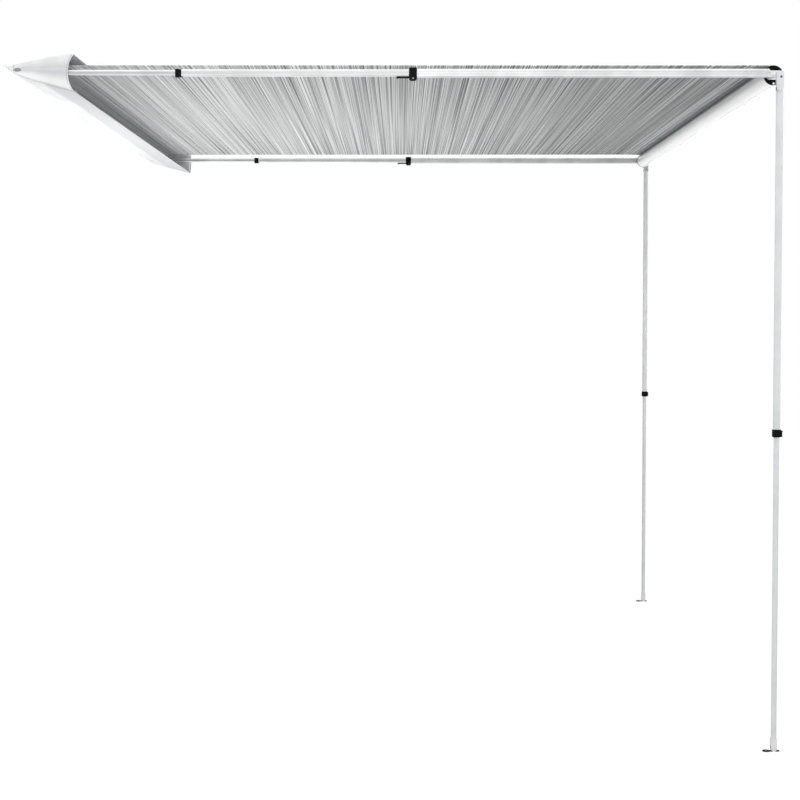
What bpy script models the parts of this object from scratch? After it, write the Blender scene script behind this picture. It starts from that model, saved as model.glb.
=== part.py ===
"""Roll-out bag awning for a caravan wall, drawn open.

Frame: the wall profile's flat back is X = 0, X runs out from the wall, Y runs along the awning
and Z is up. The origin is the middle of that back face. Lengths are in metres.
"""

import math

import bmesh
import bpy
from mathutils import Vector

# Overall sizes
ROOF_PROJECTION = 2.500
ROLLER_SPAN = 3.100
GROUND_DROP = 2.263
ROLLER_DROP = 0.0147
RAFTER_DROP = 0.0116
GAP = 0.0003
PIN_PLAY = 0.0003
SIDE_PLAY = 0.0015
CUT_OVERRUN = 0.001
JOIN_SINK = 0.002

# Wall profile, with a round groove for the canopy's bead
PROFILE_DEPTH = 0.026
PROFILE_TOP = 0.0085
PROFILE_BOTTOM = 0.0115
PROFILE_WALL = 0.002
PROFILE_SET_BACK = 0.0085
GROOVE_RADIUS = 0.0036
GROOVE_MOUTH = 0.0026
GROOVE_LEVEL = 0.0030

# Keder strip that slides into the vehicle's awning rail
KEDER_RADIUS = 0.00375
KEDER_REACH = 0.0275
KEDER_TONGUE = 0.014
KEDER_SHEET = 0.0012

# Bag
BAG_OVERHANG = 0.028
BAG_SHEET = 0.0016
BAG_BACK = 0.001
BAG_MOUTH_REACH = 0.1975
BAG_LIP_RISE = 0.0474
BAG_LIP_DROP = 0.0734
BAG_TOP_BULGE = 0.004
BAG_BOTTOM_BULGE = 0.006
NEAR_GUSSET_RECESS = 0.020
FAR_GUSSET_BULGE = 0.006
GUSSET_FOLD = 0.010
GUSSET_FOLD_LEVEL = 0.0052
GUSSET_SHEET = 0.0012
ZIP_SLIDER_LENGTH = 0.026
ZIP_SLIDER_WIDTH = 0.014
ZIP_SLIDER_HEIGHT = 0.008
ZIP_SLIDER_EDGE = 0.0032
ZIP_SLIDER_FROM_END = 0.050

# Canopy
CANOPY_SIDE_CLEARANCE = 0.0010
CANOPY_SHEET = 0.0012
CANOPY_NECK = 0.002
CANOPY_BEAD_RADIUS = 0.0029
CANOPY_RISE_END = 0.150

# Roller
ROLLER_RADIUS = 0.0318
ROLLER_WALL = 0.0016
ROLLER_SLOT_MOUTH = 0.0030
ROLLER_POCKET_RADIUS = 0.0032
ROLLER_POCKET_DEPTH = 0.0046
ROLLER_SLOT_ANGLES = (-90.0, 75.0)
CAP_RADIUS = 0.0328
CAP_FLANGE = 0.0045
CAP_PLUG_LENGTH = 0.028
CAP_PLUG_RADIUS = 0.0200
CAP_EDGE = 0.0012
CAP_RIM = 0.0100
CAP_RECESS = 0.0012
CAP_BOSS_RADIUS = 0.0120
CAP_SCREW_SHANK = 0.0016
CAP_SCREW_HEAD_RADIUS = 0.0034
CAP_SCREW_HEAD = 0.0010
CAP_SCREW_LENGTH = 0.020
HUB_RADIUS = 0.0080
HUB_DEPTH = 0.018

# Hub bracket
HUB_PLATE = 0.008
HUB_REACH_BACK = 0.0227
HUB_REACH_FRONT = 0.0272
HUB_RISE = 0.0142
HUB_FALL = 0.0150
HUB_CORNER = 0.0080
AXLE_END_RADIUS = 0.0028
AXLE_END_LENGTH = 0.0050
HEAD_PIN_RADIUS = 0.0040
HEAD_PIN_BACK = 0.0156
HEAD_PIN_DROP = 0.0011
HEAD_PIN_CAP = 0.0015
HEAD_PIN_CAP_EDGE = 0.0012

# Rafter stages: width along Y, height along Z, and how far each section sits above the outer one
OUTER_WIDTH = 0.0220
OUTER_HEIGHT = 0.0282
OUTER_CORNER = 0.0055
OUTER_SET_BACK = 0.0260
OUTER_GROOVE_DEPTH = 0.0007
OUTER_GROOVE_WIDTH = 0.0014
OUTER_GROOVE_UPPER = 0.0056
OUTER_GROOVE_LOWER = 0.0042
MIDDLE_WIDTH = 0.0190
MIDDLE_HEIGHT = 0.0234
MIDDLE_CORNER = 0.0055
MIDDLE_RISE = 0.0010
MIDDLE_OVERLAP = 0.1370
MIDDLE_GROOVE_DEPTH = 0.0004
MIDDLE_GROOVE_WIDTH = 0.0110
INNER_WIDTH = 0.0156
INNER_HEIGHT = 0.0177
INNER_CORNER = 0.0045
INNER_RISE = 0.0022
INNER_SET_BACK = 0.0210
INNER_OVERLAP = 0.1270
INNER_GROOVE_DEPTH = 0.0004
INNER_GROOVE_WIDTH = 0.0078
INNER_WALL = 0.0012
STAGE_GAP = 0.0003

# Rafter fittings
WALL_PIVOT_REACH = 0.055
WALL_PIN_RADIUS = 0.0030
WALL_PIN_HEAD = 0.0052
WALL_PIN_HEAD_LENGTH = 0.0016
WALL_EAR = 0.0030
WALL_EAR_ROUND = 0.0085
WALL_BASE = 0.0035
EYE_PLUG_LENGTH = 0.034
COLLAR_LENGTH = 0.0200
COLLAR_CENTRE = 0.5386
COLLAR_LIP = 0.0040
COLLAR_WALL_SIDE = 0.0024
COLLAR_WALL_UP = 0.0022
COLLAR_OFFSET = 0.0008
COLLAR_FLANGE = 0.0110
COLLAR_STEP = 0.0008
COLLAR_EDGE = 0.0014
COLLAR_TAB = 0.0040
COLLAR_TAB_WIDTH = 0.0100
CLAMP_CENTRE = 1.3097
CLAMP_LENGTH = 0.0257
CLAMP_STOP = 0.0205
CLAMP_RISE = 0.0178
CLAMP_FALL = 0.0236
CLAMP_CHEEK = 0.0026
CLAMP_CORNER = 0.0030
CLAMP_CHIN = 0.0075
CLAMP_EDGE = 0.0011
CLAMP_GRIP_DEPTH = 0.0006
CLAMP_GRIP_WIDTH = 0.0016
CLAMP_GRIP_LENGTH = 0.0120
CLAMP_GRIP_SPACING = 0.0042
LEVER_PIVOT_FORWARD = 0.0003
LEVER_PIVOT_DROP = 0.0172
LEVER_CAM_RADIUS = 0.0052
LEVER_REACH = 0.0550
LEVER_THICKNESS = 0.0048
LEVER_WIDTH = 0.0110
LEVER_HEEL = 0.0040
LEVER_SHOULDER = 0.0120
LEVER_LIP = 0.0018
LEVER_LIP_LENGTH = 0.0085
LEVER_RIVET_RADIUS = 0.0016
LEVER_RIVET_HEAD = 0.0025
LEVER_RIVET_HEAD_LENGTH = 0.0008
HEAD_NOSE_ROUND = 0.0103
HEAD_SHOULDER = 0.0035
HEAD_PLUG_LENGTH = 0.030
HEAD_NOTCH_START = 0.0025
HEAD_NOTCH_LENGTH = 0.0055
HEAD_NOTCH_RADIUS = 0.0010
HEAD_NOTCH_RISE = 0.0067
HEAD_NOTCH_DEPTH = 0.0030

# Legs: eight-sided tubes
LEG_OFFSET = 0.0163
LEG_OUTER_X = 0.0222
LEG_OUTER_Y = 0.0220
LEG_OUTER_FLAT = 0.0100
LEG_INNER_X = 0.0172
LEG_INNER_Y = 0.0164
LEG_INNER_FLAT = 0.0076
LEG_INNER_WALL = 0.0012
LEG_GAP = 0.0004
LEG_HEAD_RISE = 0.0112
LEG_HEAD_CORNER = 0.0030
LEG_HEAD_WEB = 0.0020
SWING_PIN_OFFSET = 0.0185
SWING_PIN_DROP = 0.0088
SWING_PIN_RADIUS = 0.0028
SWING_PIN_HEAD = 0.0040
SWING_PIN_HEAD_LENGTH = 0.0010
FOLD_PIN_DROP = 0.0480
FOLD_PIN_RADIUS = 0.0025
FOLD_PIN_HEAD = 0.0042
FOLD_PIN_HEAD_LENGTH = 0.0010
FOLD_EAR = 0.0043
FOLD_EAR_ROUND = 0.0088
FOLD_TONGUE_ROUND = 0.0085
FOLD_CLEARANCE = 0.0010
FOLD_TUBE_DROP = 0.0130
TONGUE_FLANGE = 0.0009
TONGUE_PLUG_LENGTH = 0.032
LEG_CLAMP_DROP = 1.1973
LEG_CLAMP_HEIGHT = 0.0250
LEG_CLAMP_BACK = 0.0137
LEG_CLAMP_FRONT = 0.0135
LEG_CLAMP_SIDE = 0.0138
LEG_CLAMP_SEAT = 0.0180
LEG_CLAMP_CORNER = 0.0030
LEG_CLAMP_EDGE = 0.0010
LEG_LEVER_THICKNESS = 0.0040
LEG_LEVER_WIDTH = 0.0150
LEG_LEVER_RISE = 0.0068
LEG_LEVER_FALL = 0.0112
LEG_LEVER_LIP = 0.0014
LEG_LEVER_TRUNNION = 0.0014
LEG_LEVER_EAR = 0.0030
LEG_LEVER_EAR_RIM = 0.0006
LEG_OVERLAP = 0.1200

# Feet
FOOT_PIN_HEIGHT = 0.0105
FOOT_PIN_RADIUS = 0.0022
FOOT_PIN_HEAD = 0.0036
FOOT_PIN_HEAD_LENGTH = 0.0008
BOOT_X = 0.0196
BOOT_Y = 0.0206
BOOT_HEIGHT = 0.0440
BOOT_SOCKET = 0.0200
BOOT_LIFT = 0.0007
BOOT_PRONG = 0.0040
PLATE_THICKNESS = 0.0030
PLATE_BIG_REACH = 0.0246
PLATE_BIG_RADIUS = 0.0127
PLATE_BIG_HOLE = 0.0078
PLATE_SMALL_REACH = 0.0137
PLATE_SMALL_RADIUS = 0.0062
PLATE_SMALL_HOLE = 0.0030
PLATE_LUG_ROUND = 0.0075

# Places that follow from the sizes above
ARM_PLANE = ROLLER_SPAN / 2 + SIDE_PLAY + HUB_PLATE + SIDE_PLAY + OUTER_WIDTH / 2
BAG_HALF = ARM_PLANE + BAG_OVERHANG
FLAP_HALF = BAG_HALF - GUSSET_SHEET - GAP
PROFILE_HALF = FLAP_HALF - PROFILE_SET_BACK
TUBE_HALF = ROLLER_SPAN / 2 - CAP_FLANGE - GAP
CANOPY_HALF = TUBE_HALF - CANOPY_SIDE_CLEARANCE
ROLLER_X = ROOF_PROJECTION
INNER_BACK = WALL_PIVOT_REACH + INNER_SET_BACK
COLLAR_BACK = COLLAR_CENTRE - COLLAR_LENGTH / 2
MIDDLE_BACK = COLLAR_BACK + COLLAR_LIP + GAP
INNER_FRONT = MIDDLE_BACK + INNER_OVERLAP
CLAMP_BACK = CLAMP_CENTRE - CLAMP_LENGTH / 2
OUTER_BACK = CLAMP_BACK + CLAMP_STOP + GAP
MIDDLE_FRONT = OUTER_BACK + MIDDLE_OVERLAP
OUTER_FRONT = ROLLER_X - OUTER_SET_BACK
HEAD_PIN_X = ROLLER_X - HEAD_PIN_BACK
HEAD_PIN_Z = -ROLLER_DROP - HEAD_PIN_DROP
LEG_X = ROLLER_X + LEG_OFFSET
SWING_X = ROLLER_X + SWING_PIN_OFFSET
SWING_Z = -ROLLER_DROP - SWING_PIN_DROP
FOLD_Z = -ROLLER_DROP - FOLD_PIN_DROP
FOOT_Z = -GROUND_DROP + FOOT_PIN_HEIGHT
LEVER_X = CLAMP_CENTRE + LEVER_PIVOT_FORWARD
LEVER_Z = -RAFTER_DROP - LEVER_PIVOT_DROP
LEG_LEVER_X = LEG_X + LEG_CLAMP_FRONT + GAP + LEG_LEVER_THICKNESS / 2
LEG_LEVER_Z = -LEG_CLAMP_DROP + LEG_LEVER_RISE
CANOPY_UNDERSIDE = -ROLLER_DROP + ROLLER_RADIUS + GAP
KEDER_LEVEL = PROFILE_TOP + GAP + KEDER_SHEET / 2

NEAR = -1
FAR = 1
SIDES = {"near": NEAR, "far": FAR}
ROUND_STEPS = 24
SMALL_ROUND_STEPS = 16
CAP_ROUND_STEPS = 32
CORNER_STEPS = 3
SMOOTH_ANGLE = math.radians(32)


# Finishes
def finish(name, colour, roughness, metallic=0.0):
    """A Principled material with one plain colour."""
    made = bpy.data.materials.new(name)
    made.use_nodes = True
    shader = made.node_tree.nodes["Principled BSDF"]
    shader.inputs["Base Color"].default_value = (*colour, 1.0)
    shader.inputs["Roughness"].default_value = roughness
    shader.inputs["Metallic"].default_value = metallic
    made.diffuse_color = (*colour, 1.0)
    return made


def make_finishes():
    """Every finish of the awning, by the name of what it is."""
    return {
        "white_aluminium": finish("white_aluminium", (0.78, 0.79, 0.79), 0.38),
        "bare_aluminium": finish("bare_aluminium", (0.70, 0.71, 0.72), 0.35, 1.0),
        "white_casting": finish("white_casting", (0.80, 0.80, 0.79), 0.45),
        "black_nylon": finish("black_nylon", (0.015, 0.015, 0.016), 0.42),
        "steel": finish("steel", (0.55, 0.55, 0.56), 0.30, 1.0),
        "bag_vinyl": finish("bag_vinyl", (0.82, 0.82, 0.81), 0.50),
        "keder_vinyl": finish("keder_vinyl", (0.80, 0.80, 0.80), 0.45),
        "canopy_cloth": finish("canopy_cloth", (0.42, 0.44, 0.45), 0.85),
    }


# Outlines in a plane, counter-clockwise
def arc(centre, radius, start, sweep, steps):
    """Points along an arc, both ends included, with angles in radians."""
    return [
        (
            centre[0] + radius * math.cos(start + sweep * step / steps),
            centre[1] + radius * math.sin(start + sweep * step / steps),
        )
        for step in range(steps + 1)
    ]


def circle(centre, radius, steps=ROUND_STEPS):
    """A closed circle."""
    return arc(centre, radius, 0.0, math.tau, steps)[:-1]


def rounded_rectangle(low, high, radii, steps=CORNER_STEPS):
    """A rectangle with a radius for each corner: low-left, low-right, high-right, high-left."""
    corners = [
        ((low[0], low[1]), (1, 1), math.pi),
        ((high[0], low[1]), (-1, 1), 1.5 * math.pi),
        ((high[0], high[1]), (-1, -1), 0.0),
        ((low[0], high[1]), (1, -1), 0.5 * math.pi),
    ]
    points = []
    for (corner, inward, start), radius in zip(corners, radii):
        if radius <= 0:
            points.append(corner)
            continue
        centre = (corner[0] + inward[0] * radius, corner[1] + inward[1] * radius)
        points += arc(centre, radius, start, math.pi / 2, steps)
    return points


def section(width, height, corner, rise=0.0, shrink=0.0, plane=0.0):
    """A rafter stage's outline in the Y-Z plane, smaller all round by shrink."""
    half_width = width / 2 - shrink
    half_height = height / 2 - shrink
    middle = -RAFTER_DROP + rise
    return rounded_rectangle(
        (plane - half_width, middle - half_height),
        (plane + half_width, middle + half_height),
        [corner] * 4,
    )


def oblong(first, second, radius, steps=5):
    """A slot's outline, round about each of two centres that lie at one level."""
    return [
        *arc(first, radius, 0.5 * math.pi, math.pi, steps),
        *arc(second, radius, -0.5 * math.pi, math.pi, steps),
    ]


def octagon(centre, size_x, size_y, flat, grow=0.0):
    """A leg's outline in the X-Y plane, with flats of one length on its four main faces."""
    half_x = size_x / 2 + grow
    half_y = size_y / 2 + grow
    half_flat = flat / 2 + grow * math.tan(math.radians(22.5))
    x, y = centre
    return [
        (x + half_x, y - half_flat),
        (x + half_x, y + half_flat),
        (x + half_flat, y + half_y),
        (x - half_flat, y + half_y),
        (x - half_x, y + half_flat),
        (x - half_x, y - half_flat),
        (x - half_flat, y - half_y),
        (x + half_flat, y - half_y),
    ]


def groove_pocket(centre, radius, mouth, facing, steps):
    """The inside of a round groove, clockwise from the first side of its mouth to the other."""
    neck = math.asin(mouth / 2 / radius)
    return arc(centre, radius, facing - neck, -(math.tau - 2 * neck), steps)


def slotted_circle(radius, slot_angles, mouth, pocket, depth, steps=ROUND_STEPS):
    """A circle about the origin whose rim opens into a round pocket at each slot angle."""
    half = math.asin(mouth / 2 / radius)
    angles = sorted(math.radians(angle) for angle in slot_angles)
    points = []
    for here, following in zip(angles, angles[1:] + [angles[0] + math.tau]):
        reach = radius - depth
        centre = (reach * math.cos(here), reach * math.sin(here))
        points += groove_pocket(centre, pocket, mouth, here, 9)
        points += arc((0, 0), radius, here + half, following - here - 2 * half, steps)
    return points


def strip_outline(path, sheet):
    """The outline of a sheet that follows a path, with half its thickness on each side."""
    above, below = [], []
    for index, point in enumerate(path):
        before = Vector(path[max(index - 1, 0)])
        after = Vector(path[min(index + 1, len(path) - 1)])
        along = (after - before).normalized()
        across = Vector((-along.y, along.x)) * (sheet / 2)
        above.append(tuple(Vector(point) + across))
        below.append(tuple(Vector(point) - across))
    return below + above[::-1]


# Solids
AXES = {
    "X": lambda u, v, w: Vector((w, u, v)),
    "Y": lambda u, v, w: Vector((u, w, v)),
    "Z": lambda u, v, w: Vector((u, v, w)),
}


def extrusion(outline, low, high, axis, holes=()):
    """A prism between two planes square to the axis, with the holes left open."""
    solid = bmesh.new()
    place = AXES[axis]
    edges = []
    for loop in (outline, *holes):
        corners = [solid.verts.new(place(u, v, low)) for u, v in loop]
        following = corners[1:] + corners[:1]
        edges += [solid.edges.new(pair) for pair in zip(corners, following)]
    if holes:
        bmesh.ops.triangle_fill(solid, use_beauty=True, edges=edges)
    else:
        solid.faces.new(corners)
    grown = bmesh.ops.extrude_face_region(solid, geom=solid.faces[:])
    moved = [item for item in grown["geom"] if isinstance(item, bmesh.types.BMVert)]
    bmesh.ops.translate(solid, verts=moved, vec=place(0, 0, high) - place(0, 0, low))
    bmesh.ops.recalc_face_normals(solid, faces=solid.faces[:])
    return solid


def loft(sections, axis):
    """A solid through outlines with one number of points, each at its place on the axis."""
    solid = bmesh.new()
    place = AXES[axis]
    rings = [[solid.verts.new(place(u, v, at)) for u, v in outline] for at, outline in sections]
    solid.faces.new(rings[0])
    solid.faces.new(rings[-1])
    for ring, following in zip(rings, rings[1:]):
        corners = zip(ring, ring[1:] + ring[:1], following[1:] + following[:1], following)
        for corner in corners:
            solid.faces.new(corner)
    bmesh.ops.recalc_face_normals(solid, faces=solid.faces[:])
    return solid


def cylinder(centre, radius, low, high, axis, steps=SMALL_ROUND_STEPS):
    """A round bar between two planes square to the axis."""
    return extrusion(circle(centre, radius, steps), low, high, axis)


def turned(profile, centre, axis, steps=ROUND_STEPS):
    """A solid of revolution from (place along the axis, radius) points that end on the axis."""
    solid = bmesh.new()
    place = AXES[axis]
    u, v = centre
    chain = [solid.verts.new(place(u + radius, v, along)) for along, radius in profile]
    edges = [solid.edges.new(pair) for pair in zip(chain, chain[1:])]
    bmesh.ops.spin(
        solid,
        geom=chain + edges,
        cent=place(u, v, 0),
        axis=place(0, 0, 1),
        angle=math.tau,
        steps=steps,
        use_merge=True,
    )
    bmesh.ops.remove_doubles(solid, verts=solid.verts[:], dist=1e-6)
    bmesh.ops.recalc_face_normals(solid, faces=solid.faces[:])
    return solid


def headed_pin(centre, shank, head, head_length, low, high, axis):
    """A turned pin between two faces, with a flat head beyond each."""
    profile = [
        (low - head_length, 0.0),
        (low - head_length, head),
        (low, head),
        (low, shank),
        (high, shank),
        (high, head),
        (high + head_length, head),
        (high + head_length, 0.0),
    ]
    return turned(profile, centre, axis, SMALL_ROUND_STEPS)


def screw_pin(centre, shank, head, side, start, seat, head_length):
    """A turned pin along Y with one head, from its plain end to beyond its seat."""
    profile = [
        (side * start, 0.0),
        (side * start, shank),
        (side * seat, shank),
        (side * seat, head),
        (side * (seat + head_length), head),
        (side * (seat + head_length), 0.0),
    ]
    return turned(profile, centre, "Y", SMALL_ROUND_STEPS)


def span(side, inner, outer):
    """The Y range between two distances from the middle, on one side."""
    return sorted((side * inner, side * outer))


def add_joint(name, point, parent=None):
    """An empty on a joint's axis, which the pieces that move there hang on."""
    empty = bpy.data.objects.new(name, None)
    empty.empty_display_size = 0.05
    bpy.context.scene.collection.objects.link(empty)
    empty["world"] = tuple(point)
    empty.parent = parent
    base = Vector(parent["world"]) if parent else Vector()
    empty.location = Vector(point) - base
    return empty


def add_object(name, solid, joint):
    """An object whose mesh is given in place and kept about its joint."""
    base = Vector(joint["world"]) if joint else Vector()
    bmesh.ops.translate(solid, verts=solid.verts[:], vec=-base)
    mesh = bpy.data.meshes.new(name)
    solid.to_mesh(mesh)
    solid.free()
    made = bpy.data.objects.new(name, mesh)
    bpy.context.scene.collection.objects.link(made)
    made.parent = joint
    return made


def add_piece(name, solid, material, joint=None):
    """A piece of the awning, smooth where it is round."""
    piece = add_object(name, solid, joint)
    piece.data.materials.append(material)
    piece.data.shade_smooth()
    piece.data.set_sharp_from_angle(angle=SMOOTH_ANGLE)
    return piece


def combine(piece, solid, operation):
    """Joins a helper solid to a piece or cuts it away."""
    label = f"{piece.name}_{operation.lower()}_{len(piece.modifiers) + 1}"
    helper = add_object(label, solid, piece.parent)
    helper.hide_render = True
    helper.hide_set(True)
    helper.display_type = "WIRE"
    step = piece.modifiers.new(label, "BOOLEAN")
    step.operation = operation
    step.solver = "EXACT"
    step.object = helper


def cut(piece, solid):
    """Cuts a solid away from a piece."""
    combine(piece, solid, "DIFFERENCE")


def fuse(piece, solid):
    """Joins a solid to a piece."""
    combine(piece, solid, "UNION")


# Wall side
def build_wall_profile(finishes):
    """The aluminium extrusion that carries the bag, the canopy and both rafters."""
    groove_x = PROFILE_DEPTH - PROFILE_WALL - GROOVE_RADIUS
    half_mouth = GROOVE_MOUTH / 2
    outline = [
        (0, -PROFILE_BOTTOM),
        (PROFILE_DEPTH, -PROFILE_BOTTOM),
        (PROFILE_DEPTH, GROOVE_LEVEL - half_mouth),
        *groove_pocket((groove_x, GROOVE_LEVEL), GROOVE_RADIUS, GROOVE_MOUTH, 0.0, 14),
        (PROFILE_DEPTH, GROOVE_LEVEL + half_mouth),
        (PROFILE_DEPTH, PROFILE_TOP),
        (0, PROFILE_TOP),
    ]
    chamber = rounded_rectangle(
        (PROFILE_WALL, -PROFILE_BOTTOM + PROFILE_WALL),
        (groove_x - GROOVE_RADIUS - PROFILE_WALL, PROFILE_TOP - PROFILE_WALL),
        [PROFILE_WALL] * 4,
    )
    solid = extrusion(outline, -PROFILE_HALF, PROFILE_HALF, "Y", [chamber])
    add_piece("wall_profile", solid, finishes["bare_aluminium"])


def build_keder_strip(finishes):
    """The flat welt and round bead by which the bag slides into the vehicle's rail."""
    half = KEDER_SHEET / 2
    lip = math.asin(half / KEDER_RADIUS)
    bead = arc((-KEDER_REACH, KEDER_LEVEL), KEDER_RADIUS, lip, math.tau - 2 * lip, 14)
    outline = [
        *bead,
        (KEDER_TONGUE, KEDER_LEVEL - half),
        (KEDER_TONGUE, KEDER_LEVEL + half),
    ]
    solid = extrusion(outline, -FLAP_HALF, FLAP_HALF, "Y")
    add_piece("keder_strip", solid, finishes["keder_vinyl"])


def flap_path(start, lip, bulge, steps=6):
    """A flap's line from the wall to its free lip, bowed outward from the straight by bulge."""
    along = Vector(lip) - Vector(start)
    outward = Vector((-along.y, along.x)).normalized() * (1 if lip[1] > 0 else -1)
    path = []
    for step in range(steps + 1):
        share = step / steps
        bow = 4 * share * (1 - share) * bulge
        path.append(tuple(Vector(start) + along * share + outward * bow))
    return path


def build_bag(finishes, joints):
    """The two long flaps and the two folding ends of the vinyl bag, and its zip slider."""
    top_start = (BAG_BACK, KEDER_LEVEL + KEDER_SHEET / 2 + GAP + BAG_SHEET / 2)
    bottom_start = (BAG_BACK, -PROFILE_BOTTOM - GAP - BAG_SHEET / 2)
    top = flap_path(top_start, (BAG_MOUTH_REACH, BAG_LIP_RISE), BAG_TOP_BULGE)
    bottom = flap_path(bottom_start, (BAG_MOUTH_REACH, -BAG_LIP_DROP), BAG_BOTTOM_BULGE)
    for name, path in (("bag_top_flap", top), ("bag_bottom_flap", bottom)):
        solid = extrusion(strip_outline(path, BAG_SHEET), -FLAP_HALF, FLAP_HALF, "Y")
        add_piece(name, solid, finishes["bag_vinyl"])
    for label, side in SIDES.items():
        build_bag_end(label, side, top, bottom, finishes)
    build_zip_slider(bottom, finishes, joints)


def build_bag_end(label, side, top, bottom, finishes):
    """A bag end: a sheet between the flaps' ends, folded inward along one line."""
    recess = {"near": NEAR_GUSSET_RECESS, "far": -FAR_GUSSET_BULGE}[label]
    half_columns = 4
    shares = [column / half_columns for column in range(half_columns)]
    wall_fold = (top[0][1] + bottom[0][1]) / 2
    solid = bmesh.new()
    rows = []
    for upper, lower in zip(top, bottom):
        out = (upper[0] - top[0][0]) / (top[-1][0] - top[0][0])
        fold_level = wall_fold + (GUSSET_FOLD_LEVEL - wall_fold) * out
        below = [(lower[1] + (fold_level - lower[1]) * share, share) for share in shares]
        above = [(upper[1] + (fold_level - upper[1]) * share, share) for share in shares]
        row = []
        for level, depth in below + [(fold_level, 1.0)] + above[::-1]:
            rise = (level - lower[1]) / (upper[1] - lower[1])
            reach = upper[0] - recess * out * 4 * rise * (1 - rise)
            fold = GUSSET_FOLD * out * depth
            row.append(solid.verts.new((reach, side * (BAG_HALF - fold), level)))
        rows.append(row)
    for row, following in zip(rows, rows[1:]):
        corners = zip(row, row[1:], following[1:], following)
        for corner in corners:
            solid.faces.new(corner)
    bmesh.ops.recalc_face_normals(solid, faces=solid.faces[:])
    piece = add_piece(f"{label}_bag_end", solid, finishes["bag_vinyl"])
    sheet = piece.modifiers.new("sheet", "SOLIDIFY")
    sheet.thickness = GUSSET_SHEET
    sheet.offset = 0.0


def build_zip_slider(lip_path, finishes, joints):
    """The slider parked on the bottom flap's zip, flat on the flap inside its lip."""
    before, lip = (Vector(point) for point in lip_path[-2:])
    back = (before - lip).normalized()
    up = Vector((back.y, -back.x))
    shape = rounded_rectangle(
        (0, BAG_SHEET / 2 + GAP),
        (ZIP_SLIDER_WIDTH, BAG_SHEET / 2 + GAP + ZIP_SLIDER_HEIGHT),
        [0, 0, ZIP_SLIDER_EDGE, ZIP_SLIDER_EDGE],
    )
    outline = [tuple(lip + back * along + up * rise) for along, rise in shape]
    start = -BAG_HALF + ZIP_SLIDER_FROM_END
    solid = extrusion(outline, start, start + ZIP_SLIDER_LENGTH, "Y")
    add_piece("zip_slider", solid, finishes["black_nylon"], joints["zip"])


def build_canopy(finishes, joints):
    """The awning cloth, from the bead in the wall profile to the top of the roller."""
    bead_x = PROFILE_DEPTH - PROFILE_WALL - GROOVE_RADIUS
    cloth_level = CANOPY_UNDERSIDE + CANOPY_SHEET / 2
    half = CANOPY_SHEET / 2
    neck = math.asin(half / CANOPY_BEAD_RADIUS)
    steps = 8
    path = [(PROFILE_DEPTH + CANOPY_NECK, GROOVE_LEVEL)]
    rise_start = path[0][0]
    for step in range(1, steps + 1):
        share = step / steps
        eased = share * share * (3 - 2 * share)
        reach = rise_start + (CANOPY_RISE_END - rise_start) * share
        path.append((reach, GROOVE_LEVEL + (cloth_level - GROOVE_LEVEL) * eased))
    path.append((ROLLER_X, cloth_level))
    below = [(x, z - half) for x, z in path]
    above = [(x, z + half) for x, z in path[::-1]]
    bead = arc((bead_x, GROOVE_LEVEL), CANOPY_BEAD_RADIUS, neck, math.tau - 2 * neck, 12)
    solid = extrusion(below + above + bead, -CANOPY_HALF, CANOPY_HALF, "Y")
    add_piece("canopy", solid, finishes["canopy_cloth"], joints["near_inner"])


# Rafters
def build_wall_bracket(label, side, finishes, joints):
    """The clevis on the wall profile and the pin that the rafter turns on."""
    pivot = (WALL_PIVOT_REACH, -RAFTER_DROP + INNER_RISE)
    back = PROFILE_DEPTH + GAP
    tongue_half = INNER_WIDTH / 2 + GAP
    outer_half = tongue_half + WALL_EAR
    plane = side * ARM_PLANE
    outline = [
        (back, pivot[1] - WALL_EAR_ROUND),
        *arc(pivot, WALL_EAR_ROUND, -0.5 * math.pi, math.pi, 10),
        (back, pivot[1] + WALL_EAR_ROUND),
    ]
    solid = extrusion(outline, plane - outer_half, plane + outer_half, "Y")
    bracket = add_piece(f"{label}_wall_bracket", solid, finishes["white_casting"])
    slot = rounded_rectangle(
        (back + WALL_BASE, pivot[1] - 2 * WALL_EAR_ROUND),
        (pivot[0] + 2 * WALL_EAR_ROUND, pivot[1] + 2 * WALL_EAR_ROUND),
        [0] * 4,
    )
    cut(bracket, extrusion(slot, plane - tongue_half, plane + tongue_half, "Y"))
    reach = outer_half + CUT_OVERRUN
    hole = WALL_PIN_RADIUS + PIN_PLAY
    cut(bracket, cylinder(pivot, hole, plane - reach, plane + reach, "Y"))
    low, high = plane - outer_half - GAP, plane + outer_half + GAP
    pin_size = (WALL_PIN_RADIUS, WALL_PIN_HEAD, WALL_PIN_HEAD_LENGTH)
    pin = headed_pin(pivot, *pin_size, low, high, "Y")
    add_piece(f"{label}_wall_pin", pin, finishes["steel"])


def grooved_section(plane, size, rise, grooves, depth):
    """A stage's outline with grooves of a depth along both side faces.

    The size is width, height and corner radius, and each groove is a level and a width.
    """
    corners = section(*size, rise, plane=plane)
    per_corner = CORNER_STEPS + 1
    low_left, low_right, high_right, high_left = (
        corners[index * per_corner : (index + 1) * per_corner] for index in range(4)
    )
    right, left = [], []
    for level, width in sorted(grooves):
        low, high = (-RAFTER_DROP + level - width / 2, -RAFTER_DROP + level + width / 2)
        face, floor = plane + size[0] / 2, plane + size[0] / 2 - depth
        right += [(face, low), (floor, low), (floor, high), (face, high)]
        face, floor = plane - size[0] / 2, plane - size[0] / 2 + depth
        left += [(face, low), (floor, low), (floor, high), (face, high)]
    return low_left + low_right + right + high_right + high_left + left[::-1]


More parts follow.
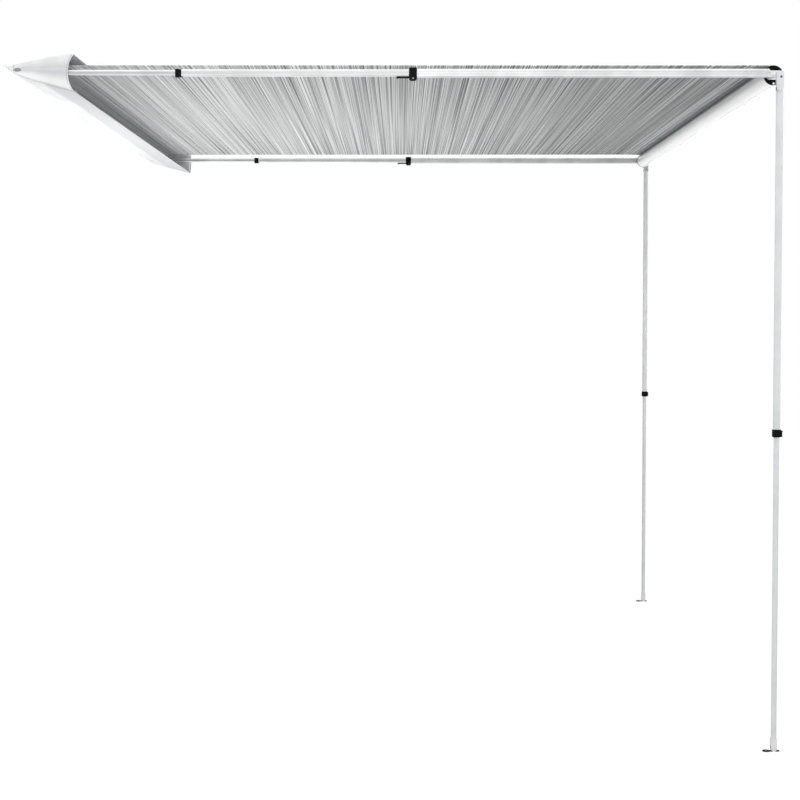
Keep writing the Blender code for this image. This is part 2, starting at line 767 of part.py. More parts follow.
def build_rafter_tubes(label, side, finishes, joints):
    """The three telescoping stages of one rafter."""
    plane = side * ARM_PLANE
    inner_size = (INNER_WIDTH, INNER_HEIGHT, INNER_CORNER)
    middle_size = (MIDDLE_WIDTH, MIDDLE_HEIGHT, MIDDLE_CORNER)
    outer_size = (OUTER_WIDTH, OUTER_HEIGHT, OUTER_CORNER)
    bores = {
        "inner": section(*inner_size, INNER_RISE, INNER_WALL, plane),
        "middle": section(*inner_size, INNER_RISE, -STAGE_GAP, plane),
        "outer": section(*middle_size, MIDDLE_RISE, -STAGE_GAP, plane),
    }
    inner_groove = [(INNER_RISE, INNER_GROOVE_WIDTH)]
    middle_groove = [(MIDDLE_RISE, MIDDLE_GROOVE_WIDTH)]
    outer_grooves = [
        (OUTER_GROOVE_UPPER, OUTER_GROOVE_WIDTH),
        (-OUTER_GROOVE_LOWER, OUTER_GROOVE_WIDTH),
    ]
    outlines = {
        "inner": grooved_section(
            plane, inner_size, INNER_RISE, inner_groove, INNER_GROOVE_DEPTH
        ),
        "middle": grooved_section(
            plane, middle_size, MIDDLE_RISE, middle_groove, MIDDLE_GROOVE_DEPTH
        ),
        "outer": grooved_section(plane, outer_size, 0.0, outer_grooves, OUTER_GROOVE_DEPTH),
    }
    ends = {
        "inner": (INNER_BACK, INNER_FRONT),
        "middle": (MIDDLE_BACK, MIDDLE_FRONT),
        "outer": (OUTER_BACK, OUTER_FRONT),
    }
    carriers = {
        "inner": joints[f"{label}_inner"],
        "middle": joints[f"{label}_middle"],
        "outer": joints["front"],
    }
    for stage, (back, front) in ends.items():
        solid = extrusion(outlines[stage], back, front, "X", [bores[stage]])
        name = f"{label}_rafter_{stage}"
        add_piece(name, solid, finishes["white_aluminium"], carriers[stage])


def build_rafter_eye(label, side, finishes, joints):
    """The eye on the wall pin, with a plug that fills the inner stage's end."""
    plane = side * ARM_PLANE
    pivot = (WALL_PIVOT_REACH, -RAFTER_DROP + INNER_RISE)
    half_height = INNER_HEIGHT / 2
    round_end = arc(pivot, half_height, math.pi / 2, math.pi, 10)
    front = INNER_BACK - GAP
    outline = [*round_end, (front, pivot[1] - half_height), (front, pivot[1] + half_height)]
    low, high = plane - INNER_WIDTH / 2, plane + INNER_WIDTH / 2
    solid = extrusion(outline, low, high, "Y")
    eye = add_piece(
        f"{label}_rafter_eye", solid, finishes["white_casting"], joints[f"{label}_inner"]
    )
    inner_size = (INNER_WIDTH, INNER_HEIGHT, INNER_CORNER)
    plug = section(*inner_size, INNER_RISE, INNER_WALL + GAP, plane=plane)
    fuse(eye, extrusion(plug, front - JOIN_SINK, front + EYE_PLUG_LENGTH, "X"))
    hole = WALL_PIN_RADIUS + PIN_PLAY
    cut(eye, cylinder(pivot, hole, low - CUT_OVERRUN, high + CUT_OVERRUN, "Y"))


def build_collar(label, side, finishes, joints):
    """The black end collar of the middle stage, which guides the inner stage."""
    plane = side * ARM_PLANE
    front = COLLAR_BACK + COLLAR_LENGTH
    level = MIDDLE_RISE - COLLAR_OFFSET
    size = (
        MIDDLE_WIDTH + 2 * COLLAR_WALL_SIDE,
        MIDDLE_HEIGHT + 2 * COLLAR_WALL_UP,
        MIDDLE_CORNER,
    )
    flange_end = COLLAR_BACK + COLLAR_FLANGE
    sections = [
        (COLLAR_BACK, section(*size, level, COLLAR_EDGE, plane)),
        (COLLAR_BACK + COLLAR_EDGE, section(*size, level, 0.0, plane)),
        (flange_end, section(*size, level, 0.0, plane)),
        (flange_end + COLLAR_STEP, section(*size, level, COLLAR_STEP, plane)),
        (front, section(*size, level, COLLAR_STEP, plane)),
    ]
    carrier = joints[f"{label}_middle"]
    collar = add_piece(
        f"{label}_rafter_collar", loft(sections, "X"), finishes["black_nylon"], carrier
    )
    tube_bottom = -RAFTER_DROP + MIDDLE_RISE - MIDDLE_HEIGHT / 2
    tab_bottom = -RAFTER_DROP + level - size[1] / 2 + COLLAR_STEP
    tab = [
        (front - JOIN_SINK, tab_bottom),
        (front + COLLAR_TAB - COLLAR_STEP, tab_bottom),
        (front + COLLAR_TAB, tab_bottom + COLLAR_STEP),
        (front + COLLAR_TAB, tube_bottom - GAP),
        (front - JOIN_SINK, tube_bottom - GAP),
    ]
    tab_half = COLLAR_TAB_WIDTH / 2
    fuse(collar, extrusion(tab, plane - tab_half, plane + tab_half, "Y"))
    inner_size = (INNER_WIDTH, INNER_HEIGHT, INNER_CORNER)
    bore = section(*inner_size, INNER_RISE, -STAGE_GAP, plane)
    cut(collar, extrusion(bore, COLLAR_BACK - CUT_OVERRUN, front + CUT_OVERRUN, "X"))
    middle_size = (MIDDLE_WIDTH, MIDDLE_HEIGHT, MIDDLE_CORNER)
    seat = section(*middle_size, MIDDLE_RISE, -GAP, plane)
    cut(collar, extrusion(seat, COLLAR_BACK + COLLAR_LIP, front + CUT_OVERRUN, "X"))


def clamp_outline(shrink):
    """The clamp block's outline in the X-Z plane, smaller all round by shrink."""
    middle = -RAFTER_DROP
    top_corner = CLAMP_CORNER - shrink
    chin = CLAMP_CHIN - shrink
    return rounded_rectangle(
        (CLAMP_BACK + shrink, middle - CLAMP_FALL + shrink),
        (CLAMP_BACK + CLAMP_LENGTH - shrink, middle + CLAMP_RISE - shrink),
        [chin, chin, top_corner, top_corner],
    )


def build_rafter_clamp(label, side, finishes, joints):
    """The black clamp block on the outer stage's end, with its cam lever and rivet."""
    plane = side * ARM_PLANE
    front = CLAMP_BACK + CLAMP_LENGTH
    middle = -RAFTER_DROP
    half_width = OUTER_WIDTH / 2 + CLAMP_CHEEK
    sections = [
        (plane - half_width, clamp_outline(CLAMP_EDGE)),
        (plane - half_width + CLAMP_EDGE, clamp_outline(0.0)),
        (plane + half_width - CLAMP_EDGE, clamp_outline(0.0)),
        (plane + half_width, clamp_outline(CLAMP_EDGE)),
    ]
    clamp = add_piece(
        f"{label}_rafter_clamp", loft(sections, "Y"), finishes["black_nylon"], joints["front"]
    )
    outer_size = (OUTER_WIDTH, OUTER_HEIGHT, OUTER_CORNER)
    seat = section(*outer_size, 0.0, -GAP, plane)
    cut(clamp, extrusion(seat, OUTER_BACK - GAP, front + CUT_OVERRUN, "X"))
    middle_size = (MIDDLE_WIDTH, MIDDLE_HEIGHT, MIDDLE_CORNER)
    bore = section(*middle_size, MIDDLE_RISE, -STAGE_GAP, plane)
    cut(clamp, extrusion(bore, CLAMP_BACK - CUT_OVERRUN, OUTER_BACK, "X"))
    slot_half = LEVER_WIDTH / 2 + GAP
    slot = rounded_rectangle(
        (CLAMP_BACK - CUT_OVERRUN, middle - CLAMP_FALL - CUT_OVERRUN),
        (LEVER_X + LEVER_CAM_RADIUS + 2 * GAP, middle + MIDDLE_RISE),
        [0] * 4,
    )
    cut(clamp, extrusion(slot, plane - slot_half, plane + slot_half, "Y"))
    pivot = (LEVER_X, LEVER_Z)
    hole = LEVER_RIVET_RADIUS + PIN_PLAY
    reach = half_width + CUT_OVERRUN
    cut(clamp, cylinder(pivot, hole, plane - reach, plane + reach, "Y"))
    cut_cheek_grips(clamp, plane + side * half_width, side)
    build_rafter_lever(label, plane, finishes, joints)
    low, high = plane - half_width - GAP, plane + half_width + GAP
    rivet_size = (LEVER_RIVET_RADIUS, LEVER_RIVET_HEAD, LEVER_RIVET_HEAD_LENGTH)
    rivet = headed_pin(pivot, *rivet_size, low, high, "Y")
    add_piece(f"{label}_lever_rivet", rivet, finishes["steel"], joints["front"])


def cut_cheek_grips(clamp, face, side):
    """The upright finger grooves in the clamp's outward cheek, level with the rafter."""
    radius = CLAMP_GRIP_WIDTH / 2
    half_length = CLAMP_GRIP_LENGTH / 2 - radius
    depth = sorted((face - side * CLAMP_GRIP_DEPTH, face + side * CUT_OVERRUN))
    for place in (-1, 0, 1):
        x = CLAMP_CENTRE + place * CLAMP_GRIP_SPACING
        groove = [
            *arc((x, -RAFTER_DROP + half_length), radius, 0.0, math.pi, 4),
            *arc((x, -RAFTER_DROP - half_length), radius, math.pi, math.pi, 4),
        ]
        cut(clamp, extrusion(groove, *depth, "Y"))


def build_rafter_lever(label, plane, finishes, joints):
    """The cam lever, which lies flat under the middle stage and ends in a finger lip."""
    pivot = (LEVER_X, LEVER_Z)
    top = -RAFTER_DROP + MIDDLE_RISE - MIDDLE_HEIGHT / 2 - 2 * GAP
    bottom = top - LEVER_THICKNESS
    tip = LEVER_X - LEVER_REACH
    cam = arc(pivot, LEVER_CAM_RADIUS, -0.5 * math.pi, math.pi, 10)
    outline = [
        *cam,
        (pivot[0] - LEVER_HEEL, top),
        (tip + LEVER_LIP, top),
        (tip, top - LEVER_LIP),
        (tip, bottom - LEVER_LIP),
        (tip + LEVER_LIP, bottom - LEVER_LIP),
        (tip + LEVER_LIP_LENGTH, bottom),
        (pivot[0] - LEVER_SHOULDER, bottom),
    ]
    low, high = plane - LEVER_WIDTH / 2, plane + LEVER_WIDTH / 2
    solid = extrusion(outline, low, high, "Y")
    lever = add_piece(
        f"{label}_rafter_lever", solid, finishes["black_nylon"], joints[f"{label}_lever"]
    )
    hole = LEVER_RIVET_RADIUS + PIN_PLAY
    cut(lever, cylinder(pivot, hole, low - CUT_OVERRUN, high + CUT_OVERRUN, "Y"))


def build_rafter_head(label, side, finishes, joints):
    """The white fitting that closes the outer stage and hooks over the hub bracket's stud."""
    plane = side * ARM_PLANE
    half_width = OUTER_WIDTH / 2
    back = OUTER_FRONT + GAP
    stud = (HEAD_PIN_X, HEAD_PIN_Z)
    outline = [
        (back, -RAFTER_DROP - OUTER_HEIGHT / 2),
        *arc(stud, HEAD_NOSE_ROUND, -0.5 * math.pi, math.pi, 12),
        (back + HEAD_SHOULDER, -RAFTER_DROP + OUTER_HEIGHT / 2),
        (back, -RAFTER_DROP + OUTER_HEIGHT / 2),
    ]
    solid = extrusion(outline, plane - half_width, plane + half_width, "Y")
    head = add_piece(
        f"{label}_rafter_head", solid, finishes["white_casting"], joints["front"]
    )
    middle_size = (MIDDLE_WIDTH, MIDDLE_HEIGHT, MIDDLE_CORNER)
    plug = section(*middle_size, MIDDLE_RISE, 0.0, plane)
    fuse(head, extrusion(plug, back - HEAD_PLUG_LENGTH, back + JOIN_SINK, "X"))
    hole = HEAD_PIN_RADIUS + PIN_PLAY
    reach = half_width + CUT_OVERRUN
    cut(head, cylinder(stud, hole, plane - reach, plane + reach, "Y"))
    face = side * (ARM_PLANE + half_width)
    notch_level = HEAD_PIN_Z + HEAD_NOTCH_RISE
    notch_start = back + HEAD_NOTCH_START
    notch = oblong(
        (notch_start, notch_level),
        (notch_start + HEAD_NOTCH_LENGTH, notch_level),
        HEAD_NOTCH_RADIUS,
    )
    depth = sorted((face - side * HEAD_NOTCH_DEPTH, face + side * CUT_OVERRUN))
    cut(head, extrusion(notch, *depth, "Y"))


# Front
def build_roller(finishes, joints):
    """The tube that the canopy winds on."""
    outer = slotted_circle(
        ROLLER_RADIUS,
        ROLLER_SLOT_ANGLES,
        ROLLER_SLOT_MOUTH,
        ROLLER_POCKET_RADIUS,
        ROLLER_POCKET_DEPTH,
        20,
    )
    relief = ROLLER_POCKET_DEPTH + ROLLER_POCKET_RADIUS + ROLLER_WALL
    spread = math.asin((ROLLER_POCKET_RADIUS + ROLLER_WALL) / (ROLLER_RADIUS - relief))
    slots = [math.radians(angle) for angle in ROLLER_SLOT_ANGLES]
    bore = []
    steps = 48
    for step in range(steps):
        angle = math.tau * step / steps
        nearest = min(abs(math.remainder(angle - slot, math.tau)) for slot in slots)
        inset = relief if nearest <= spread else ROLLER_WALL
        reach = ROLLER_RADIUS - inset
        bore.append((reach * math.cos(angle), reach * math.sin(angle)))
    centre = Vector((ROLLER_X, -ROLLER_DROP))
    outer = [tuple(Vector(point) + centre) for point in outer]
    bore = [tuple(Vector(point) + centre) for point in bore]
    solid = extrusion(outer, -TUBE_HALF, TUBE_HALF, "Y", [bore])
    add_piece("roller_tube", solid, finishes["white_aluminium"], joints["roller"])


def build_end_cap(label, side, finishes, joints):
    """The black cap that plugs the tube and turns on the hub bracket's axle."""
    face = ROLLER_SPAN / 2
    inner_face = face - CAP_FLANGE
    profile = [
        (side * (inner_face - CAP_PLUG_LENGTH), 0.0),
        (side * (inner_face - CAP_PLUG_LENGTH), CAP_PLUG_RADIUS),
        (side * inner_face, CAP_PLUG_RADIUS),
        (side * inner_face, CAP_RADIUS),
        (side * (face - CAP_EDGE), CAP_RADIUS),
        (side * face, CAP_RADIUS - CAP_EDGE),
        (side * face, CAP_RADIUS - CAP_RIM),
        (side * (face - CAP_RECESS), CAP_RADIUS - CAP_RIM - CAP_RECESS),
        (side * (face - CAP_RECESS), CAP_BOSS_RADIUS + CAP_RECESS),
        (side * face, CAP_BOSS_RADIUS),
        (side * face, 0.0),
    ]
    solid = turned(profile, (ROLLER_X, -ROLLER_DROP), "Y", CAP_ROUND_STEPS)
    cap = add_piece(f"{label}_end_cap", solid, finishes["black_nylon"], joints["roller"])
    centre = (ROLLER_X, -ROLLER_DROP)
    bore = span(side, face - HUB_DEPTH - GAP, face + CUT_OVERRUN)
    cut(cap, cylinder(centre, HUB_RADIUS + PIN_PLAY, *bore, "Y", ROUND_STEPS))
    seat = (ROLLER_X, -ROLLER_DROP - ROLLER_RADIUS + ROLLER_POCKET_DEPTH)
    hole = span(side, inner_face - CUT_OVERRUN, face + CUT_OVERRUN)
    cut(cap, cylinder(seat, CAP_SCREW_SHANK + PIN_PLAY, *hole, "Y"))
    start = face - CAP_SCREW_LENGTH
    screw_size = (CAP_SCREW_SHANK, CAP_SCREW_HEAD_RADIUS, side, start, face + GAP)
    screw = screw_pin(seat, *screw_size, CAP_SCREW_HEAD)
    add_piece(f"{label}_cap_screw", screw, finishes["steel"], joints["roller"])


def build_hub_bracket(label, side, finishes, joints):
    """The white casting that carries the roller's axle, the rafter's stud and the leg."""
    x, z = ROLLER_X, -ROLLER_DROP
    inner = ROLLER_SPAN / 2 + SIDE_PLAY
    outer = inner + HUB_PLATE
    outline = rounded_rectangle(
        (x - HUB_REACH_BACK, z - HUB_FALL),
        (x + HUB_REACH_FRONT, z + HUB_RISE),
        [HUB_CORNER, HUB_CORNER / 2, HUB_CORNER / 2, HUB_CORNER],
        4,
    )
    solid = extrusion(outline, *span(side, inner, outer), "Y")
    plate = add_piece(
        f"{label}_hub_bracket", solid, finishes["white_casting"], joints["front"]
    )
    axle = span(side, ROLLER_SPAN / 2 - HUB_DEPTH, inner + HUB_PLATE / 2)
    fuse(plate, cylinder((x, z), HUB_RADIUS, *axle, "Y", ROUND_STEPS))
    axle_end = span(side, outer - JOIN_SINK, outer + AXLE_END_LENGTH)
    fuse(plate, cylinder((x, z), AXLE_END_RADIUS, *axle_end, "Y"))
    stud_at = (HEAD_PIN_X, HEAD_PIN_Z)
    tip = ARM_PLANE + OUTER_WIDTH / 2
    stud = span(side, inner + HUB_PLATE / 2, tip + GAP + HEAD_PIN_CAP / 2)
    fuse(plate, cylinder(stud_at, HEAD_PIN_RADIUS, *stud, "Y"))
    knob = span(side, tip + GAP, tip + GAP + HEAD_PIN_CAP)
    fuse(plate, cylinder(stud_at, HEAD_PIN_RADIUS + HEAD_PIN_CAP_EDGE, *knob, "Y"))
    hole = span(side, inner - CUT_OVERRUN, outer + CUT_OVERRUN)
    swing = (SWING_X, SWING_Z)
    cut(plate, cylinder(swing, SWING_PIN_RADIUS + PIN_PLAY, *hole, "Y"))
    pin_size = (SWING_PIN_RADIUS, SWING_PIN_HEAD, side, inner + GAP, tip + GAP)
    pin = screw_pin(swing, *pin_size, SWING_PIN_HEAD_LENGTH)
    add_piece(f"{label}_swing_pin", pin, finishes["steel"], joints["front"])


# Legs
def build_leg_head(label, side, finishes, joints):
    """The white block that swings on the hub bracket, with a fork closed on its outward side."""
    plane = side * ARM_PLANE
    half_x = LEG_OUTER_X / 2
    half_y = OUTER_WIDTH / 2
    top = -ROLLER_DROP + LEG_HEAD_RISE
    ear_bottom = FOLD_Z - FOLD_EAR_ROUND
    outline = rounded_rectangle(
        (plane - half_y, ear_bottom),
        (plane + half_y, top),
        [FOLD_EAR_ROUND, FOLD_EAR_ROUND, LEG_HEAD_CORNER, LEG_HEAD_CORNER],
        5,
    )
    solid = extrusion(outline, LEG_X - half_x, LEG_X + half_x, "X")
    head = add_piece(
        f"{label}_leg_head", solid, finishes["white_casting"], joints[f"{label}_swing"]
    )
    slot_half = half_x - FOLD_EAR
    slot_top = FOLD_Z + FOLD_TONGUE_ROUND + FOLD_CLEARANCE
    slot_low, slot_high = sorted(
        (plane - side * (half_y + CUT_OVERRUN), plane + side * (half_y - LEG_HEAD_WEB))
    )
    slot = rounded_rectangle(
        (slot_low, ear_bottom - CUT_OVERRUN), (slot_high, slot_top), [0] * 4
    )
    cut(head, extrusion(slot, LEG_X - slot_half, LEG_X + slot_half, "X"))
    swing_hole = cylinder(
        (SWING_X, SWING_Z),
        SWING_PIN_RADIUS + PIN_PLAY,
        plane - half_y - CUT_OVERRUN,
        plane + half_y + CUT_OVERRUN,
        "Y",
    )
    cut(head, swing_hole)
    pin_at = (plane, FOLD_Z)
    hole = FOLD_PIN_RADIUS + PIN_PLAY
    reach = half_x + CUT_OVERRUN
    cut(head, cylinder(pin_at, hole, LEG_X - reach, LEG_X + reach, "X"))
    low, high = LEG_X - half_x - GAP, LEG_X + half_x + GAP
    pin_size = (FOLD_PIN_RADIUS, FOLD_PIN_HEAD, FOLD_PIN_HEAD_LENGTH)
    pin = headed_pin(pin_at, *pin_size, low, high, "X")
    add_piece(f"{label}_fold_pin", pin, finishes["steel"], joints[f"{label}_swing"])


def build_leg_tongue(label, side, finishes, joints):
    """The plug and flange on the leg's top end, whose eye turns on the fold pin."""
    plane = side * ARM_PLANE
    half_x = LEG_OUTER_X / 2 - FOLD_EAR - GAP
    flange_low = FOLD_Z - FOLD_TUBE_DROP + GAP
    eye_low = flange_low + TONGUE_FLANGE / 3
    plug_high = flange_low + 2 * TONGUE_FLANGE / 3
    outline = [
        *arc((plane, FOLD_Z), FOLD_TONGUE_ROUND, 0.0, math.pi, 10),
        (plane - FOLD_TONGUE_ROUND, eye_low),
        (plane + FOLD_TONGUE_ROUND, eye_low),
    ]
    solid = extrusion(outline, LEG_X - half_x, LEG_X + half_x, "X")
    tongue = add_piece(
        f"{label}_leg_tongue", solid, finishes["white_casting"], joints[f"{label}_fold"]
    )
    flange = octagon((LEG_X, plane), LEG_OUTER_X, LEG_OUTER_Y, LEG_OUTER_FLAT)
    fuse(tongue, extrusion(flange, flange_low, flange_low + TONGUE_FLANGE, "Z"))
    plug = octagon((LEG_X, plane), LEG_INNER_X, LEG_INNER_Y, LEG_INNER_FLAT)
    fuse(tongue, extrusion(plug, flange_low - TONGUE_PLUG_LENGTH, plug_high, "Z"))
    hole = FOLD_PIN_RADIUS + PIN_PLAY
    low, high = LEG_X - half_x - CUT_OVERRUN, LEG_X + half_x + CUT_OVERRUN
    cut(tongue, cylinder((plane, FOLD_Z), hole, low, high, "X"))


def build_leg_tubes(label, side, finishes, joints):
    """The upper and the lower tube of one leg."""
    centre = (LEG_X, side * ARM_PLANE)
    outer = octagon(centre, LEG_OUTER_X, LEG_OUTER_Y, LEG_OUTER_FLAT)
    inner_size = (LEG_INNER_X, LEG_INNER_Y, LEG_INNER_FLAT)
    outer_bore = octagon(centre, *inner_size, LEG_GAP)
    outer_bottom = -LEG_CLAMP_DROP + LEG_CLAMP_HEIGHT / 2 - LEG_CLAMP_SEAT + GAP
    top = FOLD_Z - FOLD_TUBE_DROP
    solid = extrusion(outer, outer_bottom, top, "Z", [outer_bore])
    add_piece(f"{label}_leg_outer", solid, finishes["white_aluminium"], joints[f"{label}_fold"])
    inner = octagon(centre, *inner_size)
    bore = octagon(centre, *inner_size, -LEG_INNER_WALL)
    bottom = -GROUND_DROP + BOOT_HEIGHT - BOOT_SOCKET + GAP
    solid = extrusion(inner, bottom, -LEG_CLAMP_DROP + LEG_OVERLAP, "Z", [bore])
    add_piece(f"{label}_leg_inner", solid, finishes["white_aluminium"], joints[f"{label}_slide"])


def leg_clamp_outline(plane, shrink):
    """The leg clamp's outline in the X-Y plane, smaller all round by shrink."""
    corner = LEG_CLAMP_CORNER - shrink
    return rounded_rectangle(
        (LEG_X - LEG_CLAMP_BACK + shrink, plane - LEG_CLAMP_SIDE + shrink),
        (LEG_X + LEG_CLAMP_FRONT - shrink, plane + LEG_CLAMP_SIDE - shrink),
        [corner + LEG_CLAMP_CORNER, corner, corner, corner + LEG_CLAMP_CORNER],
    )


def build_leg_clamp(label, side, finishes, joints):
    """The black clamp at the upper tube's end, with its lever on the outward side."""
    plane = side * ARM_PLANE
    low = -LEG_CLAMP_DROP - LEG_CLAMP_HEIGHT / 2
    high = -LEG_CLAMP_DROP + LEG_CLAMP_HEIGHT / 2
    sections = [
        (low, leg_clamp_outline(plane, LEG_CLAMP_EDGE)),
        (low + LEG_CLAMP_EDGE, leg_clamp_outline(plane, 0.0)),
        (high - LEG_CLAMP_EDGE, leg_clamp_outline(plane, 0.0)),
        (high, leg_clamp_outline(plane, LEG_CLAMP_EDGE)),
    ]
    fold = joints[f"{label}_fold"]
    clamp = add_piece(
        f"{label}_leg_clamp", loft(sections, "Z"), finishes["black_nylon"], fold
    )
    ear_inner = LEG_LEVER_WIDTH / 2 + GAP
    ear_outer = ear_inner + LEG_LEVER_EAR
    ear_round = LEG_LEVER_THICKNESS / 2 + LEG_LEVER_EAR_RIM
    pivot = (LEG_LEVER_X, LEG_LEVER_Z)
    for ear_low, ear_high in (
        (plane - ear_outer, plane - ear_inner),
        (plane + ear_inner, plane + ear_outer),
    ):
        root = LEG_X + LEG_CLAMP_FRONT - JOIN_SINK
        ear = [
            (root, pivot[1] - 2 * ear_round),
            *arc(pivot, ear_round, -0.25 * math.pi, 0.75 * math.pi, 6),
            (root, pivot[1] + ear_round),
        ]
        fuse(clamp, extrusion(ear, ear_low, ear_high, "Y"))
    centre = (LEG_X, plane)
    inner_size = (LEG_INNER_X, LEG_INNER_Y, LEG_INNER_FLAT)
    bore = octagon(centre, *inner_size, LEG_GAP)
    cut(clamp, extrusion(bore, low - CUT_OVERRUN, high + CUT_OVERRUN, "Z"))
    seat = octagon(centre, LEG_OUTER_X, LEG_OUTER_Y, LEG_OUTER_FLAT, GAP)
    cut(clamp, extrusion(seat, high - LEG_CLAMP_SEAT, high + CUT_OVERRUN, "Z"))
    hole = LEG_LEVER_TRUNNION + PIN_PLAY
    reach = ear_outer + CUT_OVERRUN
    cut(clamp, cylinder(pivot, hole, plane - reach, plane + reach, "Y"))
    build_leg_lever(label, plane, ear_outer, finishes, joints)


def build_leg_lever(label, plane, ear_outer, finishes, joints):
    """The clamp's lever, shut flat against the clamp, with a trunnion in each ear."""
    pivot = (LEG_LEVER_X, LEG_LEVER_Z)
    half = LEG_LEVER_THICKNESS / 2
    foot = -LEG_CLAMP_DROP - LEG_LEVER_FALL
    outline = [
        (pivot[0] - half, foot),
        (pivot[0] + half, foot),
        (pivot[0] + half + LEG_LEVER_LIP, foot + LEG_LEVER_LIP),
        (pivot[0] + half, foot + 3 * LEG_LEVER_LIP),
        *arc(pivot, half, 0.0, math.pi, 8),
    ]
    low, high = plane - LEG_LEVER_WIDTH / 2, plane + LEG_LEVER_WIDTH / 2
    solid = extrusion(outline, low, high, "Y")
    lever = add_piece(
        f"{label}_leg_lever", solid, finishes["black_nylon"], joints[f"{label}_leg_lever"]
    )
    ends = (plane - ear_outer, plane + ear_outer)
    fuse(lever, cylinder(pivot, LEG_LEVER_TRUNNION, *ends, "Y", 12))


def build_foot(label, side, finishes, joints):
    """The white boot on the lower tube and the black peg plate that tilts on its pin."""
    plane = side * ARM_PLANE
    pivot = (LEG_X, FOOT_Z)
    half_x = BOOT_X / 2
    half_y = BOOT_Y / 2
    top = -GROUND_DROP + BOOT_HEIGHT
    rounded = FOOT_PIN_HEIGHT - BOOT_LIFT
    outline = [
        *arc(pivot, rounded, math.pi, math.pi, 10),
        (LEG_X + half_x, top),
        (LEG_X - half_x, top),
    ]
    slide = joints[f"{label}_slide"]
    solid = extrusion(outline, plane - half_y, plane + half_y, "Y")
    boot = add_piece(f"{label}_leg_boot", solid, finishes["white_casting"], slide)
    inner_size = (LEG_INNER_X, LEG_INNER_Y, LEG_INNER_FLAT)
    socket = octagon((LEG_X, plane), *inner_size, GAP)
    cut(boot, extrusion(socket, top - BOOT_SOCKET, top + CUT_OVERRUN, "Z"))
    slot_half = half_y - BOOT_PRONG
    slot_top = FOOT_Z + PLATE_LUG_ROUND + FOLD_CLEARANCE
    slot = rounded_rectangle(
        (LEG_X - half_x - CUT_OVERRUN, -GROUND_DROP - CUT_OVERRUN),
        (LEG_X + half_x + CUT_OVERRUN, slot_top),
        [0] * 4,
    )
    cut(boot, extrusion(slot, plane - slot_half, plane + slot_half, "Y"))
    hole = FOOT_PIN_RADIUS + PIN_PLAY
    reach = half_y + CUT_OVERRUN
    cut(boot, cylinder(pivot, hole, plane - reach, plane + reach, "Y", 12))
    low, high = plane - half_y - GAP, plane + half_y + GAP
    pin_size = (FOOT_PIN_RADIUS, FOOT_PIN_HEAD, FOOT_PIN_HEAD_LENGTH)
    pin = headed_pin(pivot, *pin_size, low, high, "Y")
    add_piece(f"{label}_foot_pin", pin, finishes["steel"], slide)
    build_foot_plate(label, plane, slot_half - GAP, finishes, joints)


def build_foot_plate(label, plane, waist_half, finishes, joints):
    """The peg plate: a big and a small ring joined by a waist with a lug for the pin."""
    low = -GROUND_DROP
    high = low + PLATE_THICKNESS
    big = (LEG_X - PLATE_BIG_REACH, plane)
    small = (LEG_X + PLATE_SMALL_REACH, plane)
    big_turn = math.asin(waist_half / PLATE_BIG_RADIUS)
    small_turn = math.asin(min(waist_half / PLATE_SMALL_RADIUS, 1.0))
    outline = [
        *arc(big, PLATE_BIG_RADIUS, big_turn, math.tau - 2 * big_turn, 20),
        *arc(small, PLATE_SMALL_RADIUS, math.pi + small_turn, math.tau - 2 * small_turn, 12),
    ]
    holes = [circle(big, PLATE_BIG_HOLE, 16), circle(small, PLATE_SMALL_HOLE, 12)]
    solid = extrusion(outline, low, high, "Z", holes)
    tilt = joints[f"{label}_tilt"]
    plate = add_piece(f"{label}_foot_plate", solid, finishes["black_nylon"], tilt)
    pivot = (LEG_X, FOOT_Z)
    lug = [
        (LEG_X - PLATE_LUG_ROUND, low + PLATE_THICKNESS / 2),
        (LEG_X + PLATE_LUG_ROUND, low + PLATE_THICKNESS / 2),
        *arc(pivot, PLATE_LUG_ROUND, 0.0, math.pi, 10),
    ]
    fuse(plate, extrusion(lug, plane - waist_half, plane + waist_half, "Y"))
    hole = FOOT_PIN_RADIUS + PIN_PLAY
    low_y, high_y = plane - waist_half - CUT_OVERRUN, plane + waist_half + CUT_OVERRUN
    cut(plate, cylinder(pivot, hole, low_y, high_y, "Y", 12))


def make_joints():
    """The empties on the joint axes, each under the one that carries it."""
    rafter_z = -RAFTER_DROP + INNER_RISE
    joints = {"zip": add_joint("axis_zip_slide", (BAG_MOUTH_REACH, -BAG_HALF, -BAG_LIP_DROP))}
    for label, side in SIDES.items():
        pivot = (WALL_PIVOT_REACH, side * ARM_PLANE, rafter_z)
        joints[f"{label}_inner"] = add_joint(f"axis_{label}_roof_slope", pivot)
        start = (MIDDLE_BACK, side * ARM_PLANE, -RAFTER_DROP)
        joints[f"{label}_middle"] = add_joint(
            f"axis_{label}_middle_slide", start, joints[f"{label}_inner"]
        )
    axis = (ROLLER_X, 0, -ROLLER_DROP)
    joints["front"] = add_joint("axis_awning_travel", axis, joints["near_inner"])
    joints["roller"] = add_joint("axis_roller_turn", axis, joints["front"])
    for label, side in SIDES.items():
        plane = side * ARM_PLANE
        points = {
            "lever": (LEVER_X, plane, LEVER_Z),
            "swing": (SWING_X, plane, SWING_Z),
            "fold": (LEG_X, plane, FOLD_Z),
            "slide": (LEG_X, plane, -LEG_CLAMP_DROP),
            "tilt": (LEG_X, plane, FOOT_Z),
            "leg_lever": (LEG_LEVER_X, plane, LEG_LEVER_Z),
        }
        carriers = {
            "lever": "front",
            "swing": "front",
            "fold": f"{label}_swing",
            "slide": f"{label}_fold",
            "tilt": f"{label}_slide",
            "leg_lever": f"{label}_fold",
        }
        for kind, point in points.items():
            joints[f"{label}_{kind}"] = add_joint(
                f"axis_{label}_{kind}", point, joints[carriers[kind]]
            )
    return joints


